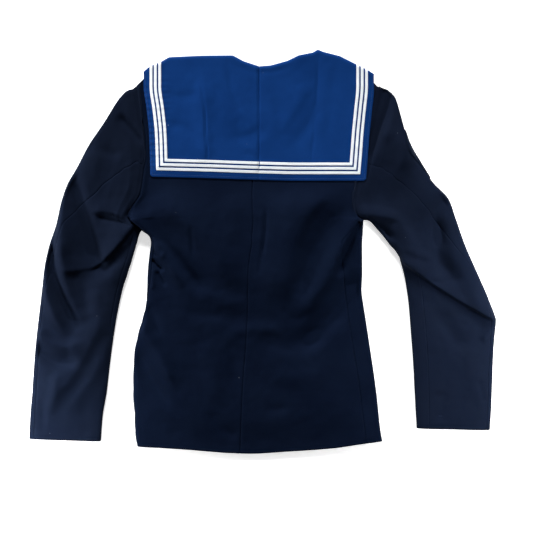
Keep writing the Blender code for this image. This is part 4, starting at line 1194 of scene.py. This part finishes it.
def group(name, inputs, outputs):
    """An empty shader group with named sockets: its tree, its inputs and its output node."""
    tree = bpy.data.node_groups.new(name, "ShaderNodeTree")
    tree.interface.new_socket(inputs[0], in_out="INPUT", socket_type="NodeSocketVector")
    for label in inputs[1:]:
        tree.interface.new_socket(label, in_out="INPUT", socket_type="NodeSocketFloat")
    for label in outputs:
        tree.interface.new_socket(label, in_out="OUTPUT", socket_type="NodeSocketFloat")
    return tree, tree.nodes.new("NodeGroupInput").outputs, tree.nodes.new("NodeGroupOutput")


def twill_group():
    """Diagonal ribs of twill with the threads that cross them, on the cloth's own coordinates."""
    tree, given, result = group("twill_weave", ("Cloth", "Pitch", "Slope"), ("Height",))
    part = node(tree, "ShaderNodeSeparateXYZ", {"Vector": given["Cloth"]}).outputs
    turns = maths(tree, "DIVIDE", 2 * math.pi, given["Pitch"])
    diagonal = maths(tree, "ADD", part["X"], maths(tree, "MULTIPLY", part["Y"], given["Slope"]))
    other = maths(tree, "SUBTRACT", part["Y"], part["X"])
    ribs = maths(tree, "SINE", maths(tree, "MULTIPLY", diagonal, turns))
    cross = maths(tree, "SINE", maths(tree, "MULTIPLY", other, maths(tree, "MULTIPLY", turns, 2.0)))
    height = maths(tree, "MULTIPLY_ADD", cross, CROSS_THREADS, ribs)
    feed(tree, result, {"Height": maths(tree, "MULTIPLY_ADD", height, RIB_SCALE, 0.5)})
    return tree


def nap_group():
    """Fuzz and soft mottling of a brushed cloth."""
    tree, given, result = group("brushed_nap", ("Place", "Fuzz", "Mottle"), ("Fuzz", "Mottle"))
    for label, detail, roughness in (("Fuzz", 3.0, 0.8), ("Mottle", 5.0, 0.62)):
        grains = node(tree, "ShaderNodeTexNoise", {"Vector": given["Place"], "Scale": given[label],
                                                   "Detail": detail, "Roughness": roughness})
        feed(tree, result, {label: grains.outputs["Fac"]})
    return tree


def lint_group():
    """Specks of lint: small, scattered and uneven."""
    tree, given, result = group("lint_specks", ("Place", "Spacing", "Size", "Share"), ("Speck",))
    cells = node(tree, "ShaderNodeTexVoronoi", {"Vector": given["Place"], "Scale": given["Spacing"]})
    chance = node(tree, "ShaderNodeSeparateColor", {"Color": cells.outputs["Color"]}).outputs
    size = maths(tree, "MULTIPLY", given["Size"], chance["Green"])
    near = maths(tree, "LESS_THAN", cells.outputs["Distance"], size)
    kept = maths(tree, "LESS_THAN", chance["Red"], given["Share"])
    feed(tree, result, {"Speck": maths(tree, "MULTIPLY", near, kept)})
    return tree


TWILL = twill_group()
NAP = nap_group()
LINT = lint_group()


def new_material(name):
    """A material with its tree and its shader."""
    material = bpy.data.materials.new(name)
    material.use_nodes = True
    return material, material.node_tree, material.node_tree.nodes["Principled BSDF"]


def cloth_material(name, dark, light, lint, pitch, fuzz, relief, rough, sheen,
                   slope=1.0, lint_share=0.08, mottle=14.0):
    """A woven cloth: mottled colour, lint, twill ribs and nap."""
    material, tree, shader = new_material(name)
    place = node(tree, "ShaderNodeTexCoord").outputs["Object"]
    cloth = node(tree, "ShaderNodeUVMap", uv_map="cloth").outputs["UV"]
    weave = placed(tree, TWILL, {"Cloth": cloth, "Pitch": pitch, "Slope": slope})["Height"]
    nap = placed(tree, NAP, {"Place": place, "Fuzz": fuzz, "Mottle": mottle})
    specks = {"Place": place, "Spacing": LINT_SPACING, "Size": LINT_SIZE, "Share": lint_share}
    patchy = maths(tree, "MULTIPLY_ADD", nap["Mottle"], *MOTTLE_CONTRAST)
    grain = maths(tree, "MULTIPLY_ADD", nap["Fuzz"], *GRAIN_CONTRAST)
    shade = maths(tree, "MULTIPLY_ADD", patchy, MOTTLE_SHARE, maths(tree, "MULTIPLY", grain, GRAIN_SHARE))
    shade = maths(tree, "MULTIPLY_ADD", weave, WEAVE_SHARE, shade)
    shade = node(tree, "ShaderNodeClamp", {"Value": shade}).outputs[0]
    fuzz_height = maths(tree, "MULTIPLY", nap["Fuzz"], NAP_RELIEF)
    height = maths(tree, "MULTIPLY_ADD", weave, WEAVE_RELIEF, fuzz_height)
    bump = node(tree, "ShaderNodeBump", {"Strength": 0.5, "Distance": relief, "Height": height})
    feed(tree, shader, {
        "Base Color": mixed(tree, placed(tree, LINT, specks)["Speck"], mixed(tree, shade, dark, light), lint),
        "Normal": bump.outputs["Normal"],
        "Roughness": maths(tree, "MULTIPLY_ADD", nap["Fuzz"], ROUGH_SPAN, rough - ROUGH_SPAN / 2),
        "Specular IOR Level": 0.02,
        "Sheen Weight": sheen,
        "Sheen Roughness": 0.3,
        "Sheen Tint": (0.62, 0.78, 1.0, 1.0),
    })
    return material


def thread_material(name, colour):
    """Twisted sewing thread."""
    material, tree, shader = new_material(name)
    place = node(tree, "ShaderNodeTexCoord").outputs["Object"]
    nap = placed(tree, NAP, {"Place": place, "Fuzz": 2400.0, "Mottle": 60.0})
    pale = tuple(min(1.0, 1.25 * c) for c in colour[:3]) + (1.0,)
    bump = node(tree, "ShaderNodeBump", {"Strength": 0.4, "Distance": 0.0001, "Height": nap["Fuzz"]})
    feed(tree, shader, {"Base Color": mixed(tree, nap["Fuzz"], colour, pale),
                        "Normal": bump.outputs["Normal"], "Roughness": 0.6})
    return material


def stitch_tree(material):
    """Stitches along lines: one thread loop at every pitch, set along the line."""
    tree = bpy.data.node_groups.new("stitches_along_lines", "GeometryNodeTree")
    tree.interface.new_socket("Lines", in_out="INPUT", socket_type="NodeSocketGeometry")
    for label in STITCH_SIZES:
        tree.interface.new_socket(label, in_out="INPUT", socket_type="NodeSocketFloat")
    tree.interface.new_socket("Stitches", in_out="OUTPUT", socket_type="NodeSocketGeometry")
    given = tree.nodes.new("NodeGroupInput").outputs
    curve = node(tree, "GeometryNodeMeshToCurve", {"Mesh": given["Lines"]}).outputs["Curve"]
    points = node(tree, "GeometryNodeResampleCurve",
                  {"Curve": curve, "Length": given["Pitch"]}, mode="LENGTH")
    ball = node(tree, "GeometryNodeMeshUVSphere", {"Segments": 6, "Rings": 5, "Radius": 1.0})
    tangent = node(tree, "GeometryNodeInputTangent").outputs[0]
    turn = node(tree, "FunctionNodeAlignRotationToVector", {"Vector": tangent}, axis="Z")
    half = maths(tree, "MULTIPLY", given["Length"], 0.5)
    size = node(tree, "ShaderNodeCombineXYZ", {"X": given["Thread"], "Y": given["Thread"], "Z": half})
    copies = node(tree, "GeometryNodeInstanceOnPoints", {
        "Points": points.outputs["Curve"], "Instance": ball.outputs["Mesh"],
        "Rotation": turn.outputs["Rotation"], "Scale": size.outputs[0]})
    real = node(tree, "GeometryNodeRealizeInstances", {"Geometry": copies.outputs["Instances"]})
    smooth = node(tree, "GeometryNodeSetShadeSmooth", {"Geometry": real.outputs["Geometry"]})
    dressed = node(tree, "GeometryNodeSetMaterial",
                   {"Geometry": smooth.outputs["Geometry"], "Material": material})
    feed(tree, tree.nodes.new("NodeGroupOutput"), {"Stitches": dressed.outputs["Geometry"]})
    return tree


def stitches(name, lines, material, *sizes):
    """Rows of stitches along lines of points, made a plain mesh."""
    mesh = bpy.data.meshes.new(name + "_lines")
    verts = []
    edges = []
    for line in lines:
        first = len(verts)
        verts += [tuple(p * MM) for p in line]
        edges += [(i, i + 1) for i in range(first, len(verts) - 1)]
    mesh.from_pydata(verts, edges, [])
    rows = bpy.data.objects.new(name + "_lines", mesh)
    bpy.context.scene.collection.objects.link(rows)
    sewing = rows.modifiers.new("stitches", "NODES")
    sewing.node_group = stitch_tree(material)
    sockets = sewing.node_group.interface.items_tree
    inputs = {item.name: item.identifier for item in sockets if item.in_out == "INPUT"}
    for label, size in zip(STITCH_SIZES, sizes):
        sewing[inputs[label]] = size * MM
    shown = rows.evaluated_get(bpy.context.evaluated_depsgraph_get())
    piece = bpy.data.objects.new(name, bpy.data.meshes.new_from_object(shown))
    bpy.data.objects.remove(rows)
    bpy.context.scene.collection.objects.link(piece)
    return piece


WOOL_WEAVE = {"lint": LINT_GREY, "pitch": 0.0012, "fuzz": 520.0, "relief": 0.00022, "rough": 0.86}
WOOL_CLOTH = cloth_material("navy_wool_body", NAVY_DARK, NAVY_LIGHT, sheen=0.02, **WOOL_WEAVE)
# The sleeves get the lighter copy of the same wool: painted light for the brighter light on them.
SLEEVE_LIT_CLOTH = cloth_material("navy_wool_sleeves_painted_lighter", SLEEVE_LIT_DARK, SLEEVE_LIT_LIGHT, sheen=0.03, **WOOL_WEAVE)
BLUE_CLOTH = cloth_material("blue_collar_drill", BLUE_DARK, BLUE_LIGHT, BLUE_LINT, pitch=0.0008, fuzz=1300.0,
                            relief=0.00012, rough=0.8, sheen=0.01, mottle=20.0)
TAPE_CLOTH_WHITE = cloth_material("white_woven_tape", TAPE_SHADE, TAPE_WHITE, TAPE_WHITE, pitch=0.0007,
                                  fuzz=1500.0, relief=0.00016, rough=0.75, sheen=0.05, slope=0.0,
                                  lint_share=0.0, mottle=30.0)
WHITE_THREAD = thread_material("white_thread", (0.78, 0.80, 0.82, 1.0))
BLUE_THREAD = thread_material("blue_thread", (0.010, 0.045, 0.170, 1.0))

PANELS = body_pieces(WOOL_CLOTH)
LEFT_ARM = sleeve_pieces(ARMS["left"], SLEEVE_LIT_CLOTH)[0]
RIGHT_ARM, RIGHT_TUBE, RIGHT_PLACES = sleeve_pieces(ARMS["right"], SLEEVE_LIT_CLOTH)
PATCH_PIECE = patch_piece(RIGHT_TUBE, RIGHT_PLACES, SLEEVE_LIT_CLOTH)
COLLAR = collar_piece(BLUE_CLOTH)
TAPE_PIECES = [tape_piece("white_" + name, inset, TAPE_CLOTH_WHITE) for name, inset in TAPES.items()]
EDGE_LINE = collar_line(STITCH_INSET, COLLAR_CLOTH / 2 + EDGE_STITCH_LIFT, run_on=False)
COLLAR_STITCHES = stitches("collar_edge_stitches", [EDGE_LINE], BLUE_THREAD, *EDGE_STITCH)
TAPE_LINES = [collar_line(inset + across, COLLAR_CLOTH / 2 + TAPE_CLOTH + TAPE_STITCH_LIFT, run_on=False)
              for inset in TAPES.values() for across in (-TAPE_STITCH_INSET, TAPE_STITCH_INSET)]
TAPE_STITCHES = stitches("tape_stitches", TAPE_LINES, WHITE_THREAD, *TAPE_STITCH)

# Each piece, and the solid that it stands for.
WOOL_PIECES = (
    (PANELS[0], "back_left"),
    (PANELS[1], "back_right"),
    (PANELS[2], "front"),
    (LEFT_ARM[0], "top_sleeve_left"),
    (LEFT_ARM[1], "under_sleeve_left"),
    (RIGHT_ARM[0], "top_sleeve_right"),
    (RIGHT_ARM[1], "under_sleeve_right"),
    (PATCH_PIECE, "badge_patch"),
)
for piece, solid in WOOL_PIECES:
    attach(piece, "root")
    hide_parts(solid)
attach(COLLAR, "root")
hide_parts("collar")
for piece, name in zip(TAPE_PIECES, TAPES):
    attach(piece, "root")
    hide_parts(name)
for piece in (COLLAR_STITCHES, TAPE_STITCHES):
    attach(piece, "root")

bpy.ops.mesh.primitive_plane_add(size=FLOOR_WIDTH, location=(0, 0, 0))
FLOOR = bpy.context.object
FLOOR.name = "studio_floor"
PAPER, PAPER_TREE, PAPER_SHADER = new_material("white_paper")
feed(PAPER_TREE, PAPER_SHADER, {"Base Color": (0.93, 0.93, 0.93, 1.0), "Roughness": 0.9,
                                "Emission Color": (1.0, 1.0, 1.0, 1.0), "Emission Strength": 0.6})
FLOOR.data.materials.append(PAPER)

WORLD = bpy.data.worlds.new("soft_studio")
bpy.context.scene.world = WORLD
WORLD.use_nodes = True
feed(WORLD.node_tree, WORLD.node_tree.nodes["Background"],
     {"Color": (0.97, 0.985, 1.0, 1.0), "Strength": 0.07})
bpy.context.scene.view_settings.view_transform = "Standard"

LAMP_COLUMNS = ("name", "x", "y", "z", "aim_x", "aim_y", "width", "height", "spread", "power")
LAMPS = (
    ("top_softbox", -0.3, 5.0, 2.35, 0.0, 0.0, 1.6, 1.0, 180, 510.0),
    ("left_softbox", -1.05, 0.08, 0.19, 0.0, 0.0, 0.4, 0.24, 180, 12.0),
    ("right_softbox", 1.05, -0.10, 0.26, 0.0, 0.0, 0.4, 0.3, 180, 0.8),
    ("left_strip", -0.80, -0.40, 0.40, -0.47, -0.36, 0.35, 0.2, 46, 1.4),
    ("right_strip", 0.82, -0.16, 0.42, 0.48, -0.14, 0.6, 0.2, 56, 1.7),
)
for row in LAMPS:
    lamp = dict(zip(LAMP_COLUMNS, row))
    light = bpy.data.lights.new(lamp["name"], "AREA")
    light.shape = "RECTANGLE"
    light.size = lamp["width"]
    light.size_y = lamp["height"]
    light.spread = math.radians(lamp["spread"])
    light.energy = lamp["power"]
    softbox = bpy.data.objects.new(lamp["name"], light)
    softbox.location = (lamp["x"], lamp["y"], lamp["z"])
    aim = Vector((lamp["aim_x"], lamp["aim_y"], 0.0)) - softbox.location
    softbox.rotation_euler = aim.to_track_quat("-Z", "Y").to_euler()
    bpy.context.scene.collection.objects.link(softbox)

CAMERA = bpy.data.objects.new("camera", bpy.data.cameras.new("camera"))
CAMERA.data.lens = LENS
CAMERA.location = (VIEW_CENTRE[0], VIEW_CENTRE[1], VIEW_WIDTH * LENS / CAMERA.data.sensor_width)
bpy.context.scene.collection.objects.link(CAMERA)
bpy.context.scene.camera = CAMERA
